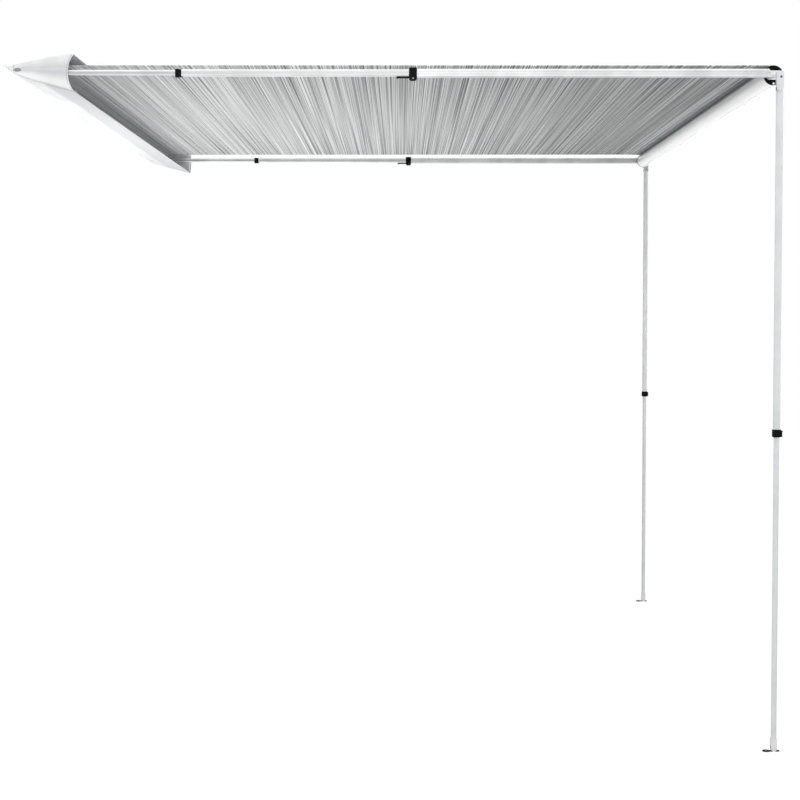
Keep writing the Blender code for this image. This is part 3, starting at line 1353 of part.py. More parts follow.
def main():
    """Clears the scene and builds every piece in place."""
    for item in list(bpy.data.objects):
        bpy.data.objects.remove(item, do_unlink=True)
    finishes = make_finishes()
    joints = make_joints()
    build_wall_profile(finishes)
    build_keder_strip(finishes)
    build_bag(finishes, joints)
    build_canopy(finishes, joints)
    build_roller(finishes, joints)
    builders = (
        build_wall_bracket,
        build_rafter_tubes,
        build_rafter_eye,
        build_collar,
        build_rafter_clamp,
        build_rafter_head,
        build_end_cap,
        build_hub_bracket,
        build_leg_head,
        build_leg_tongue,
        build_leg_tubes,
        build_leg_clamp,
        build_foot,
    )
    for label, side in SIDES.items():
        for build in builders:
            build(label, side, finishes, joints)


main()
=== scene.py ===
"""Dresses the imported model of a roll-out bag awning, drawn open on its legs.

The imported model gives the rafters, roller, legs and fittings. The canopy and the bag are sewn here as
soft sheets, every piece gets its finish, and a white studio is set around them.
"""

import logging
import math
from dataclasses import dataclass
from enum import Enum
from typing import Any, Callable

import bmesh
import bpy
import numpy as np
from bmesh.types import BMesh, BMVert
from bpy.types import Material, Node, NodeSocket, NodeTree, Object
from mathutils import Matrix, Vector, noise

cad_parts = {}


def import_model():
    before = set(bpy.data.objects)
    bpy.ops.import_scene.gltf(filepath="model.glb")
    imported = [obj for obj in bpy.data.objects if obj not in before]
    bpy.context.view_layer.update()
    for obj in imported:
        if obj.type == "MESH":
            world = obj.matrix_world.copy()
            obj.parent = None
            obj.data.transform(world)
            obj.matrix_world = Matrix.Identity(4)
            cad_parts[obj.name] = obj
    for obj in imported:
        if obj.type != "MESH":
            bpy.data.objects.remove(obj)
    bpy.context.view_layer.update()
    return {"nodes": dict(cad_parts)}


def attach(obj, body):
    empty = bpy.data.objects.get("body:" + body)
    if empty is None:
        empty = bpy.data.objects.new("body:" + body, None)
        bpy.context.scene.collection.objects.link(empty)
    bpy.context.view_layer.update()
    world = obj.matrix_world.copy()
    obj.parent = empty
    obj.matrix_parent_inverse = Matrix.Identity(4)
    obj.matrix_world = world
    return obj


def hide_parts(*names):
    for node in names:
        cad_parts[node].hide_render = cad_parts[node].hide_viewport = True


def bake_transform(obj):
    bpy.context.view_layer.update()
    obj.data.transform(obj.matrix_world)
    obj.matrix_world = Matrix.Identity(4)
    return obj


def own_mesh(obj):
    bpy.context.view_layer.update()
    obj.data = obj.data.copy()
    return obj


LOG = logging.getLogger("awning")
MM = 0.001
WHITE = "#FFFFFF"
SEWN_WITHIN = 1e-5

# How many rays find out whether a spot is closed in, for the painted shade in grooves and folds.
CREVICE_SAMPLES = 8

# How a Mix node blends two colours, and how it multiplies them.
BLENDED = {"data_type": "RGBA"}
MULTIPLIED = {"data_type": "RGBA", "blend_type": "MULTIPLY"}

# The bag's flat cloth has its top flap at the origin, the bottom flap below it and the ends beside both.
BOTTOM_FLAP_V = -1.0
ENDS_U = 2.0

Point = tuple[float, float]
Place = tuple[float, float, float]
Feeds = dict[str | int, Any]


class End(Enum):
    """The two ends of the awning, by the sign of Y."""

    NEAR = -1
    FAR = 1


class Body(str, Enum):
    """The bodies that new pieces ride on."""

    WALL = "wall_side"
    RAFTERS = "near_rafter_root"
    FRONT = "front"
    ROLLER = "roller"


class Ground(str, Enum):
    """What a pattern is laid out on: the awning's own space, or the cloth itself."""

    SPACE = "Object"
    CLOTH = "UV"


def linear(hex_colour: str) -> tuple[float, float, float, float]:
    """Turns an sRGB hex value to a linear colour.

    Args:
        hex_colour: The colour as "#RRGGBB".

    Returns:
        Red, green, blue and an alpha of 1.
    """
    channels = (int(hex_colour[at : at + 2], 16) / 255 for at in (1, 3, 5))
    made = (c / 12.92 if c <= 0.04045 else ((c + 0.055) / 1.055) ** 2.4 for c in channels)
    return (*made, 1.0)


def per_metre(size_mm: float) -> float:
    """How many of a size in millimetres go in a metre."""
    return 1 / (size_mm * MM)


def feed(tree: NodeTree, node: Node, inputs: Feeds) -> None:
    """Sets or links a node's inputs.

    Args:
        tree: The node tree it is in.
        node: The node.
        inputs: For each input's name or place, a value, a socket, or a node whose first
            output feeds it.
    """
    for key, value in inputs.items():
        if isinstance(value, Node):
            value = value.outputs[0]
        if isinstance(value, NodeSocket):
            tree.links.new(value, node.inputs[key])
        else:
            node.inputs[key].default_value = value


def add_node(
    tree: NodeTree,
    kind: str,
    inputs: Feeds | None = None,
    stops: list[tuple[float, str]] | None = None,
    **settings: Any,
) -> Node:
    """Adds a node, sets it and links it.

    Args:
        tree: The node tree it goes in.
        kind: The node's type, such as "ShaderNodeMath".
        inputs: What feeds its inputs, as for feed().
        stops: A colour ramp's stops, as pairs of a place from 0 to 1 and a hex colour.
        settings: The node's own properties.

    Returns:
        The new node.
    """
    node = tree.nodes.new(kind)
    for name, value in settings.items():
        setattr(node, name, value)
    feed(tree, node, inputs or {})
    if stops:
        elements = node.color_ramp.elements
        while len(elements) < len(stops):
            elements.new(1.0)
        for element, (place, colour) in zip(elements, stops):
            element.position = place
            element.color = linear(colour)
    return node


@dataclass(frozen=True)
class Finish:
    """A surface of the awning: what it is made of and how that was made."""

    name: str
    colour: str
    roughness: float
    metallic: float = 0.0
    specular: float = 0.5
    ground: Ground = Ground.SPACE
    gloss_play: Point = (-0.05, 0.07)

    def build(self) -> Material:
        """Makes the material, with the pattern that the kind of finish adds.

        Returns:
            The material, under the finish's name.
        """
        made = bpy.data.materials.new(self.name)
        made.use_nodes = True
        made.diffuse_color = linear(self.colour)
        tree = made.node_tree
        shader = tree.nodes["Principled BSDF"]
        plain = {
            "Base Color": linear(self.colour),
            "Roughness": self.roughness,
            "Metallic": self.metallic,
            "Specular IOR Level": self.specular,
        }
        feed(tree, shader, plain)
        place = add_node(tree, "ShaderNodeTexCoord").outputs[self.ground.value]
        feed(tree, shader, self.pattern(tree, place))
        return made

    def pattern(self, tree: NodeTree, place: NodeSocket) -> Feeds:
        """The nodes of the finish's own pattern.

        Args:
            tree: The node tree they go in.
            place: The coordinates that they read, in metres.

        Returns:
            What feeds the shader's inputs.
        """
        return {}

    def uneven_gloss(self, tree: NodeTree, by: Node) -> Node:
        """A roughness that a pattern moves up and down around the finish's own.

        Args:
            tree: The node tree it goes in.
            by: The pattern, from 0 to 1.

        Returns:
            The node whose first output is the roughness.
        """
        low, high = self.gloss_play
        limits = {"To Min": self.roughness + low, "To Max": self.roughness + high}
        return add_node(tree, "ShaderNodeMapRange", {"Value": by, **limits})

    def painted_closed_in_shade(
        self,
        tree: NodeTree,
        tint: NodeSocket | Node,
        reach_mm: float,
        stops: list[tuple[float, str]],
    ) -> NodeSocket:
        """Darkens a colour in grooves, joints and folds: painted shade where little light gets in.

        Args:
            tree: The node tree it goes in.
            tint: The finish's colour.
            reach_mm: How far a wall may stand and still close a spot in.
            stops: What the colour is multiplied by, from closed in to open.

        Returns:
            The colour with the painted shade on it.
        """
        open_air = add_node(
            tree,
            "ShaderNodeAmbientOcclusion",
            {"Distance": reach_mm * MM},
            samples=CREVICE_SAMPLES,
        )
        shade_ramp = add_node(tree, "ShaderNodeValToRGB", {"Fac": open_air.outputs["AO"]}, stops=stops)
        feeds = {0: 1.0, 6: tint, 7: shade_ramp}
        mixed = add_node(tree, "ShaderNodeMix", feeds, **MULTIPLIED)
        return mixed.outputs[2]


@dataclass(frozen=True)
class PowderCoat(Finish):
    """Polyester powder baked on aluminium: a satin skin with a fine orange peel."""

    peel_mm: float = 1.6
    peel_depth_mm: float = 0.012
    cloud_mm: float = 90.0
    shade: str = "#E6E7E7"
    crevice_mm: float = 2.5
    crevice_shade: str = "#9EA0A1"

    def pattern(self, tree: NodeTree, place: NodeSocket) -> Feeds:
        """Orange peel, faint clouds, and painted shade in the grooves and joints.

        Args:
            tree: The node tree they go in.
            place: The coordinates that they read, in metres.

        Returns:
            What feeds the shader's inputs.
        """
        spread = {"Vector": place, "Scale": per_metre(self.cloud_mm), "Detail": 3.0}
        cloud = add_node(tree, "ShaderNodeTexNoise", spread)
        shades = [(0.36, self.shade), (0.60, self.colour)]
        tint = add_node(tree, "ShaderNodeValToRGB", {"Fac": cloud}, stops=shades)
        # Painted shade in grooves and joints, where little light gets in.
        shaded_tint = self.painted_closed_in_shade(tree, tint, self.crevice_mm, [(0.40, self.crevice_shade), (0.85, WHITE)])
        fine = {"Vector": place, "Scale": per_metre(self.peel_mm), "Detail": 1.0}
        peel = add_node(tree, "ShaderNodeTexNoise", fine)
        depth = {"Height": peel, "Distance": self.peel_depth_mm * MM}
        bump = add_node(tree, "ShaderNodeBump", depth)
        return {"Base Color": shaded_tint, "Roughness": self.uneven_gloss(tree, cloud), "Normal": bump}


@dataclass(frozen=True)
class BandedCoat(PowderCoat):
    """Powder coat with painted shade in the flat channel of a rafter's sides: the channel is coloured
    greyer.
    """

    band: Point = (-0.0159, -0.0059)
    edge_mm: float = 0.5
    channel_shade_tone: str = "#E2E3E4"

    def pattern(self, tree: NodeTree, place: NodeSocket) -> Feeds:
        """The coat with painted shade in its channel, which lies between two heights.

        Args:
            tree: The node tree it goes in.
            place: The coordinates that it reads, in metres.

        Returns:
            What feeds the shader's inputs.
        """
        made = super().pattern(tree, place)
        height = add_node(tree, "ShaderNodeSeparateXYZ", {0: place}).outputs[2]
        middle, half = sum(self.band) / 2, (self.band[1] - self.band[0]) / 2
        level = add_node(tree, "ShaderNodeMath", {0: height, 1: middle}, operation="SUBTRACT")
        off = add_node(tree, "ShaderNodeMath", {0: level}, operation="ABSOLUTE")
        limits = {"From Min": half - self.edge_mm * MM, "From Max": half + self.edge_mm * MM}
        outside = add_node(tree, "ShaderNodeMapRange", {"Value": off, **limits})
        # Painted shade: the channel's grey stands in for the shade that falls in it.
        shades = [(0.0, self.channel_shade_tone), (1.0, WHITE)]
        tone = add_node(tree, "ShaderNodeValToRGB", {"Fac": outside}, stops=shades)
        feeds = {0: 1.0, 6: made["Base Color"], 7: tone}
        mixed = add_node(tree, "ShaderNodeMix", feeds, **MULTIPLIED)
        return {**made, "Base Color": mixed.outputs[2]}


@dataclass(frozen=True)
class MillAluminium(Finish):
    """Aluminium as it leaves the die: grey metal with fine lines along its length."""

    gloss_play: Point = (-0.08, 0.12)
    line_mm: float = 0.6
    line_length_mm: float = 600.0
    line_depth_mm: float = 0.02

    def pattern(self, tree: NodeTree, place: NodeSocket) -> Feeds:
        """Die lines along Y, drawn coarser than the real 0.1 mm.

        Args:
            tree: The node tree they go in.
            place: The coordinates that they read, in metres.

        Returns:
            What feeds the shader's inputs.
        """
        across, along = per_metre(self.line_mm), per_metre(self.line_length_mm)
        drawn = {"Vector": place, "Scale": (across, along, across)}
        mapped = add_node(tree, "ShaderNodeMapping", drawn)
        spread = {"Vector": mapped, "Scale": 1.0, "Detail": 3.0}
        lines = add_node(tree, "ShaderNodeTexNoise", spread)
        depth = {"Height": lines, "Distance": self.line_depth_mm * MM}
        bump = add_node(tree, "ShaderNodeBump", depth)
        return {"Roughness": self.uneven_gloss(tree, lines), "Normal": bump}


@dataclass(frozen=True)
class MouldedNylon(Finish):
    """Glass-filled nylon from a spark-eroded mould: dull, with a fine grain."""

    gloss_play: Point = (-0.05, 0.12)
    grain_mm: float = 0.7
    grain_depth_mm: float = 0.03
    scuff_mm: float = 14.0
    worn: str = "#151617"

    def pattern(self, tree: NodeTree, place: NodeSocket) -> Feeds:
        """Mould grain, drawn coarser than the real 0.2 mm, and scuffs.

        Args:
            tree: The node tree they go in.
            place: The coordinates that they read, in metres.

        Returns:
            What feeds the shader's inputs.
        """
        fine = {"Vector": place, "Scale": per_metre(self.grain_mm), "Detail": 2.0}
        grain = add_node(tree, "ShaderNodeTexNoise", fine)
        spread = {"Vector": place, "Scale": per_metre(self.scuff_mm), "Detail": 4.0}
        scuff = add_node(tree, "ShaderNodeTexNoise", spread)
        shades = [(0.45, self.colour), (0.75, self.worn)]
        tint = add_node(tree, "ShaderNodeValToRGB", {"Fac": scuff}, stops=shades)
        depth = {"Height": grain, "Distance": self.grain_depth_mm * MM}
        bump = add_node(tree, "ShaderNodeBump", depth)
        return {"Base Color": tint, "Roughness": self.uneven_gloss(tree, scuff), "Normal": bump}


@dataclass(frozen=True)
class PlatedSteel(Finish):
    """Turned steel with a thin plating: bright or black, with soft blotches."""

    gloss_play: Point = (-0.08, 0.12)
    blotch_mm: float = 3.0

    def pattern(self, tree: NodeTree, place: NodeSocket) -> Feeds:
        """Blotches in the plating.

        Args:
            tree: The node tree they go in.
            place: The coordinates that they read, in metres.

        Returns:
            What feeds the shader's inputs.
        """
        spread = {"Vector": place, "Scale": per_metre(self.blotch_mm), "Detail": 3.0}
        blotch = add_node(tree, "ShaderNodeTexNoise", spread)
        return {"Roughness": self.uneven_gloss(tree, blotch)}


@dataclass(frozen=True)
class Sewn(Finish):
    """A fabric with rows of stitches, whose thread is drawn thicker than the real 0.5 mm."""

    stitch_mm: float = 7.0
    stitch_share: float = 0.7
    thread_half_mm: float = 0.8
    thread: str = "#C9CBCC"

    def stitches(
        self,
        tree: NodeTree,
        tint: NodeSocket,
        across: NodeSocket | Node,
        row_at: float,
        along: NodeSocket,
    ) -> NodeSocket:
        """A row of stitches.

        Args:
            tree: The node tree they go in.
            tint: The fabric's colour.
            across: The coordinate across the row.
            row_at: Where on it the row is.
            along: The coordinate along the row.

        Returns:
            The colour with the thread on it.
        """
        near = {0: across, 1: row_at, 2: self.thread_half_mm * MM}
        row = add_node(tree, "ShaderNodeMath", near, operation="COMPARE")
        pitch = {0: along, 1: per_metre(self.stitch_mm)}
        turns = add_node(tree, "ShaderNodeMath", pitch, operation="MULTIPLY")
        part = add_node(tree, "ShaderNodeMath", {0: turns}, operation="FRACT")
        seen = {0: part, 1: self.stitch_share}
        shown = add_node(tree, "ShaderNodeMath", seen, operation="LESS_THAN")
        share = add_node(tree, "ShaderNodeMath", {0: row, 1: shown}, operation="MULTIPLY")
        feeds = {0: share, 6: tint, 7: linear(self.thread)}
        return add_node(tree, "ShaderNodeMix", feeds, **BLENDED).outputs[2]


@dataclass(frozen=True)
class CoatedFabric(Sewn):
    """PVC-coated polyester: a satin skin with the base cloth's weave pressed into it.

    The lip and the valley are painted shade, and read the bag's flat cloth, in shares of its parts: the
    bottom flap lies below v = 0 and the two ends past ends_from.
    """

    gloss_play: Point = (-0.05, 0.10)
    weave_mm: float = 1.8
    weave_depth_mm: float = 0.05
    marks_mm: Place = (166.7, 250.0, 166.7)
    ripples_mm: Place = (62.5, 250.0, 62.5)
    ripple_depth_mm: float = 0.7
    seam_at: float | None = None
    soiled: str = "#E8E9E9"
    fold_mm: float = 16.0
    fold_shade_tone: str = "#A2A4A6"
    lip_from: float | None = None
    lip_blend: float = 0.06
    lip_shade_tone: str = "#D6D8D9"
    ends_from: float = 1.5
    valley_at: float = 0.38
    valley_half: float = 0.20
    valley_shade_tone: str = "#DCDEDF"

    def pattern(self, tree: NodeTree, place: NodeSocket) -> Feeds:
        """Pressed weave, drawn coarser than the real 0.5 mm, slack ripples, marks and painted shade in
        the folds.

        Args:
            tree: The node tree they go in.
            place: The coordinates that they read, in metres.

        Returns:
            What feeds the shader's inputs.
        """
        wide = {"Vector": place, "Scale": [per_metre(size) for size in self.marks_mm]}
        mapped = add_node(tree, "ShaderNodeMapping", wide)
        spread = {"Vector": mapped, "Scale": 1.0, "Detail": 4.0}
        marks = add_node(tree, "ShaderNodeTexNoise", spread)
        shades = [(0.32, self.soiled), (0.58, self.colour)]
        tint = add_node(tree, "ShaderNodeValToRGB", {"Fac": marks}, stops=shades).outputs[0]
        if self.lip_from is not None:
            tint = self.valley(tree, self.lip(tree, tint))
        # Painted shade where the cloth is closed in, in its folds and tight gaps.
        tint = self.painted_closed_in_shade(tree, tint, self.fold_mm, [(0.40, self.fold_shade_tone), (0.92, WHITE)])
        if self.seam_at is not None:
            axes = add_node(tree, "ShaderNodeSeparateXYZ", {0: place}).outputs
            tint = self.stitches(tree, tint, axes[0], self.seam_at, axes[1])
        gloss = self.uneven_gloss(tree, marks)
        return {"Base Color": tint, "Roughness": gloss, "Normal": self.surface(tree, place)}

    def surface(self, tree: NodeTree, place: NodeSocket) -> Node:
        """The ripples of the slack coat, with the weave on them.

        Args:
            tree: The node tree they go in.
            place: The coordinates that they read, in metres.

        Returns:
            The node whose first output is the surface's normal.
        """
        long = {"Vector": place, "Scale": [per_metre(size) for size in self.ripples_mm]}
        stretched = add_node(tree, "ShaderNodeMapping", long)
        ripple = add_node(tree, "ShaderNodeTexNoise", {"Vector": stretched, "Scale": 1.0})
        depth = {"Height": ripple, "Distance": self.ripple_depth_mm * MM}
        bump = add_node(tree, "ShaderNodeBump", depth)
        for direction in ("X", "Y"):
            wave = add_node(
                tree,
                "ShaderNodeTexWave",
                {"Vector": place, "Scale": per_metre(2 * self.weave_mm)},
                wave_type="BANDS",
                bands_direction=direction,
            )
            depth = {"Height": wave, "Distance": self.weave_depth_mm * MM, "Normal": bump}
            bump = add_node(tree, "ShaderNodeBump", depth)
        return bump

    def lip(self, tree: NodeTree, tint: NodeSocket) -> NodeSocket:
        """Painted shade on the bottom flap, from past its crease to the lip that carries the zip: that
        side is coloured greyer for the way light falls on it.

        Args:
            tree: The node tree it goes in.
            tint: The fabric's colour.

        Returns:
            The colour with the greyer side on it.
        """
        cloth = add_node(tree, "ShaderNodeTexCoord").outputs[Ground.CLOTH.value]
        axes = add_node(tree, "ShaderNodeSeparateXYZ", {0: cloth}).outputs
        limits = {"From Min": self.lip_from, "From Max": self.lip_from + self.lip_blend}
        across = add_node(tree, "ShaderNodeMapRange", {"Value": axes[0], **limits})
        below = add_node(tree, "ShaderNodeMath", {0: axes[1], 1: 0.0}, operation="LESS_THAN")
        share = add_node(tree, "ShaderNodeMath", {0: across, 1: below}, operation="MULTIPLY")
        feeds = {0: share, 6: tint, 7: linear(self.lip_shade_tone)}
        return add_node(tree, "ShaderNodeMix", feeds, **BLENDED).outputs[2]

    def valley(self, tree: NodeTree, tint: NodeSocket) -> NodeSocket:
        """Painted shade along the valley fold of the bag's ends.

        Args:
            tree: The node tree it goes in.
            tint: The fabric's colour.

        Returns:
            The colour with the fold's painted shade on it.
        """
        cloth = add_node(tree, "ShaderNodeTexCoord").outputs[Ground.CLOTH.value]
        axes = add_node(tree, "ShaderNodeSeparateXYZ", {0: cloth}).outputs
        past = {0: axes[0], 1: self.ends_from}
        end = add_node(tree, "ShaderNodeMath", past, operation="GREATER_THAN")
        level = {0: axes[1], 1: self.valley_at}
        off = add_node(tree, "ShaderNodeMath", level, operation="SUBTRACT")
        away = add_node(tree, "ShaderNodeMath", {0: off}, operation="ABSOLUTE")
        shades = [(0.0, self.valley_shade_tone), (self.valley_half, WHITE)]
        fold_shade = add_node(tree, "ShaderNodeValToRGB", {"Fac": away}, stops=shades)
        feeds = {0: end, 6: tint, 7: fold_shade}
        mixed = add_node(tree, "ShaderNodeMix", feeds, **MULTIPLIED)
        return mixed.outputs[2]


@dataclass(frozen=True)
class AwningCloth(Sewn):
    """Awning cloth printed with long grey streaks that run beside the roller.

    Each layer of streaks has its share over the layers before it, its width and its length in mm. The
    streaks are drawn as wide as they show, from a millimetre or two, where the real print is finer.
    """

    layers: tuple[tuple[float, float, float], ...] = (
        (1.0, 1.8, 4800.0),
        (0.45, 1.2, 2200.0),
        (0.20, 9.0, 9000.0),
        (0.11, 60.0, 20000.0),
    )
    stops: tuple[tuple[float, str], ...] = (
        (0.42, "#6E7274"),
        (0.50, "#CBCDCD"),
        (0.575, "#FFFFFF"),
    )
    plain_level: float = 0.5
    contrast: Point = (0.74, 1.0)
    reaches: Point = (0.2, 2.2)
    line: str = "#9DA0A2"
    thread: str = "#9DA0A2"
    line_mm: float = 2.4
    line_length_mm: float = 4200.0
    line_starts: Place = (7.3, 2.1, 0.4)
    hem_at: float = 1.5232
    weave_mm: float = 1.4
    weave_depth_mm: float = 0.06

    def pattern(self, tree: NodeTree, place: NodeSocket) -> Feeds:
        """Streaks, thin dark lines, the stitches of the side hems and a weave.

        Args:
            tree: The node tree they go in.
            place: The coordinates that they read, in metres.

        Returns:
            What feeds the shader's inputs.
        """
        axes = add_node(tree, "ShaderNodeSeparateXYZ", {0: place}).outputs
        limits = {"From Min": self.reaches[0], "From Max": self.reaches[1]}
        ends = {"To Min": self.contrast[0], "To Max": self.contrast[1]}
        strength = add_node(tree, "ShaderNodeMapRange", {"Value": axes[0], **limits, **ends})
        streaks = self.streaks(tree, place, strength)
        tint = self.dark_lines(tree, place, strength, streaks)
        fine = {"Vector": place, "Scale": per_metre(self.weave_mm), "Detail": 1.0}
        weave = add_node(tree, "ShaderNodeTexNoise", fine)
        depth = {"Height": weave, "Distance": self.weave_depth_mm * MM}
        bump = add_node(tree, "ShaderNodeBump", depth)
        side = add_node(tree, "ShaderNodeMath", {0: axes[1]}, operation="ABSOLUTE")
        sewn = self.stitches(tree, tint, side, self.hem_at, axes[0])
        return {"Base Color": sewn, "Normal": bump}

    def streaks(self, tree: NodeTree, place: NodeSocket, strength: Node) -> Node:
        """The layers of streaks, one over the other.

        Args:
            tree: The node tree they go in.
            place: The coordinates that they read, in metres.
            strength: How strong the print is at a reach from the wall.

        Returns:
            The node whose first output is the streaks' colour.
        """
        mixed = None
        for at, (share, width, length) in enumerate(self.layers):
            size = {"Scale": (per_metre(width), per_metre(length), 1.0), "Location": (at, at, at)}
            mapped = add_node(tree, "ShaderNodeMapping", {"Vector": place, **size})
            spread = {"Vector": mapped, "Scale": 1.0, "Detail": 1.0, "Roughness": 0.6}
            layer = add_node(tree, "ShaderNodeTexNoise", spread)
            if mixed is not None:
                feeds = {0: share, 2: mixed, 3: layer}
                layer = add_node(tree, "ShaderNodeMix", feeds, data_type="FLOAT")
            mixed = layer
        feeds = {0: strength, 2: self.plain_level, 3: mixed}
        faded = add_node(tree, "ShaderNodeMix", feeds, data_type="FLOAT")
        return add_node(tree, "ShaderNodeValToRGB", {"Fac": faded}, stops=list(self.stops))

    def dark_lines(
        self, tree: NodeTree, place: NodeSocket, strength: Node, tint: Node
    ) -> NodeSocket:
        """The thin dark lines among the streaks.

        Args:
            tree: The node tree they go in.
            place: The coordinates that they read, in metres.
            strength: How strong the print is at a reach from the wall.
            tint: The streaks' colour.

        Returns:
            The colour with the lines on it.
        """
        scale = (per_metre(self.line_mm), per_metre(self.line_length_mm), 1.0)
        laid = {"Vector": place, "Scale": scale, "Location": self.line_starts}
        drawn = add_node(tree, "ShaderNodeMapping", laid)
        spread = {"Vector": drawn, "Scale": 1.0, "Detail": 1.0}
        lines = add_node(tree, "ShaderNodeTexNoise", spread)
        shades = [(0.57, WHITE), (0.64, self.line)]
        dark = add_node(tree, "ShaderNodeValToRGB", {"Fac": lines}, stops=shades)
        feeds = {0: strength, 6: tint, 7: dark}
        mixed = add_node(tree, "ShaderNodeMix", feeds, **MULTIPLIED)
        return mixed.outputs[2]


@dataclass(frozen=True)
class Finishes:
    """Every finish of the awning, by what wears it."""

    outer_rafter: Material
    middle_rafter: Material
    inner_rafter: Material
    roller: Material
    legs: Material
    castings: Material
    profile: Material
    nylon: Material
    bright_steel: Material
    dark_steel: Material
    bag_outside: Material
    bag_inside: Material
    welt: Material
    zip_coil: Material
    plug: Material
    cloth: Material
    doubled: Material
    tail: Material

    @classmethod
    def build(cls) -> "Finishes":
        """Makes every material.

        Returns:
            The finishes, each as a Blender material.
        """
        finishes: dict[str, Finish] = dict(
            # Polyester powder baked on extruded aluminium: a satin white with a soft highlight, and
            # with painted shade in the channel along the sides.
            outer_rafter=BandedCoat(
                "powder_coated_outer_rafter", "#FAFBFB", 0.34, channel_shade_tone="#F0F1F2"
            ),
            # The same powder coat on the next stage in, whose channel has darker painted shade.
            middle_rafter=BandedCoat(
                "powder_coated_middle_rafter", "#F6F7F7", 0.34, channel_shade_tone="#D4D6D7"
            ),
            # The same powder coat on the innermost stage, with the narrowest channel and the darkest
            # painted shade in it.
            inner_rafter=BandedCoat(
                "powder_coated_inner_rafter",
                "#F8F9F9",
                0.34,
                band=(-0.0140, -0.0070),
                channel_shade_tone="#C4C7C8",
            ),
            # A gloss coat on an extruded aluminium tube: a clean white with a long, sharp highlight.
            roller=PowderCoat(
                "gloss_coated_tube",
                "#FDFDFD",
                0.16,
                peel_depth_mm=0.001,
                cloud_mm=400.0,
                shade="#F8F9F9",
                crevice_shade="#F4F4F4",
            ),
            # Powder coat on the drawn tubes of the legs: a duller white that stays slightly grey.
            legs=PowderCoat(
                "powder_coated_leg",
                "#EBEDEE",
                0.36,
                specular=0.25,
                shade="#E4E6E7",
                crevice_shade="#D2D4D5",
            ),
            # Die-cast aluminium with a sprayed paint: an even white, less shiny, with a closer peel.
            castings=PowderCoat("painted_casting", "#F4F4F3", 0.42, peel_mm=1.1),
            # Bare extruded aluminium: grey metal with fine lines along the profile.
            profile=MillAluminium("mill_aluminium", "#B9BBBD", 0.42, 1.0),
            # Black glass-filled nylon, moulded: a dull black that hardly shines.
            nylon=MouldedNylon("moulded_nylon", "#060707", 0.52, specular=0.06),
            # Turned steel with a zinc plating: bright metal, softly blotched.
            bright_steel=PlatedSteel("zinc_plated_steel", "#D4D6D8", 0.30, 1.0),
            # Turned steel, blackened: dark metal with a soft sheen.
            dark_steel=PlatedSteel("blackened_steel", "#5A5C5E", 0.38, 1.0),
            # Polyester cloth coated with white PVC: satin, with a pressed weave, slack ripples, a row
            # of stitches near the lip, and painted shade in the folds, along the ends' valley and
            # towards the lip.
            bag_outside=CoatedFabric(
                "coated_fabric_white", "#FAFBFB", 0.44, seam_at=0.1905, lip_from=0.60
            ),
            # The back of the same coated cloth: greyer and duller, with the same weave and stitches.
            bag_inside=CoatedFabric(
                "coated_fabric_grey", "#E9EBEB", 0.55, seam_at=0.1905, soiled="#DEE0E1"
            ),
            # Soft PVC rolled around a cord or an edge: a clean satin white, with painted shade only in
            # tight gaps.
            welt=CoatedFabric("welt_vinyl", "#FEFEFE", 0.40, soiled="#F8F9F9", fold_mm=2.0),
            # Grey nylon, moulded: a plain dull grey with paler scuffs.
            plug=MouldedNylon("grey_moulded_nylon", "#8C8F91", 0.5, worn="#9A9D9F"),
            # Nylon wire wound to a coil: pale grey, with faint clouds and painted shade between the
            # turns.
            zip_coil=PowderCoat("nylon_zip_coil", "#C8CACB", 0.5, shade="#B4B6B7"),
            # Woven cloth, printed: matt, with long grey streaks beside the roller.
            cloth=AwningCloth(
                "printed_awning_cloth", "#CACCCC", 0.82, specular=0.25, ground=Ground.CLOTH
            ),
            # The same cloth doubled in a hem, with darker streaks: painted shade from the roller beside
            # it.
            doubled=AwningCloth(
                "doubled_awning_cloth",
                "#A6A8A9",
                0.82,
                specular=0.20,
                ground=Ground.CLOTH,
                stops=((0.39, "#888B8D"), (0.50, "#A6A8A9"), (0.60, "#BBBDBE")),
            ),
            # Woven cloth with a smooth coat: paler and a little shinier, with faint streaks.
            tail=AwningCloth(
                "coated_tail_cloth",
                "#F2F4F4",
                0.60,
                specular=0.30,
                ground=Ground.CLOTH,
                stops=((0.40, "#D6D9DA"), (0.50, "#F2F4F4"), (0.59, "#FFFFFF")),
            ),
        )
        return cls(**{wearer: finish.build() for wearer, finish in finishes.items()})


def smoothstep(value: float) -> float:
    """Eases a share from 0 to 1."""
    share = min(max(value, 0.0), 1.0)
    return share * share * (3 - 2 * share)


def bulge(share: float) -> float:
    """A curve over a share from 0 to 1, which is 1 in the middle and 0 at both ends."""
    return 4 * share * (1 - share)


def mesh_object(name: str, solid: BMesh, *materials: Material) -> Object:
    """Makes a finished piece from its bmesh.

    Args:
        name: The piece's name.
        solid: Its mesh, in place, which is freed.
        materials: Its materials, by slot.

    Returns:
        The new object, at the origin.
    """
    mesh = bpy.data.meshes.new(name)
    solid.to_mesh(mesh)
    solid.free()
    for material in materials:
        mesh.materials.append(material)
    mesh.shade_smooth()
    made = bpy.data.objects.new(name, mesh)
    bpy.context.scene.collection.objects.link(made)
    return made


def sheet_grid(
    across: int, along: int, place: Callable[[float, float], tuple[Vector, Point]]
) -> BMesh:
    """A sheet that a grid of faces follows.

    Args:
        across: How many faces it has for u.
        along: How many faces it has for v.
        place: Gives for u and v, both from 0 to 1, a point and where it was on the flat cloth.

    Returns:
        The sheet, with the flat cloth as its UV map.
    """
    sheet = bmesh.new()
    bmesh.ops.create_grid(sheet, x_segments=across, y_segments=along, size=0.5)
    flat = sheet.loops.layers.uv.new("flat_cloth")
    placed = {vert: place(vert.co.x + 0.5, vert.co.y + 0.5) for vert in sheet.verts}
    for face in sheet.faces:
        for loop in face.loops:
            loop[flat].uv = placed[loop.vert][1]
    for vert, (point, _) in placed.items():
        vert.co = point
    return sheet


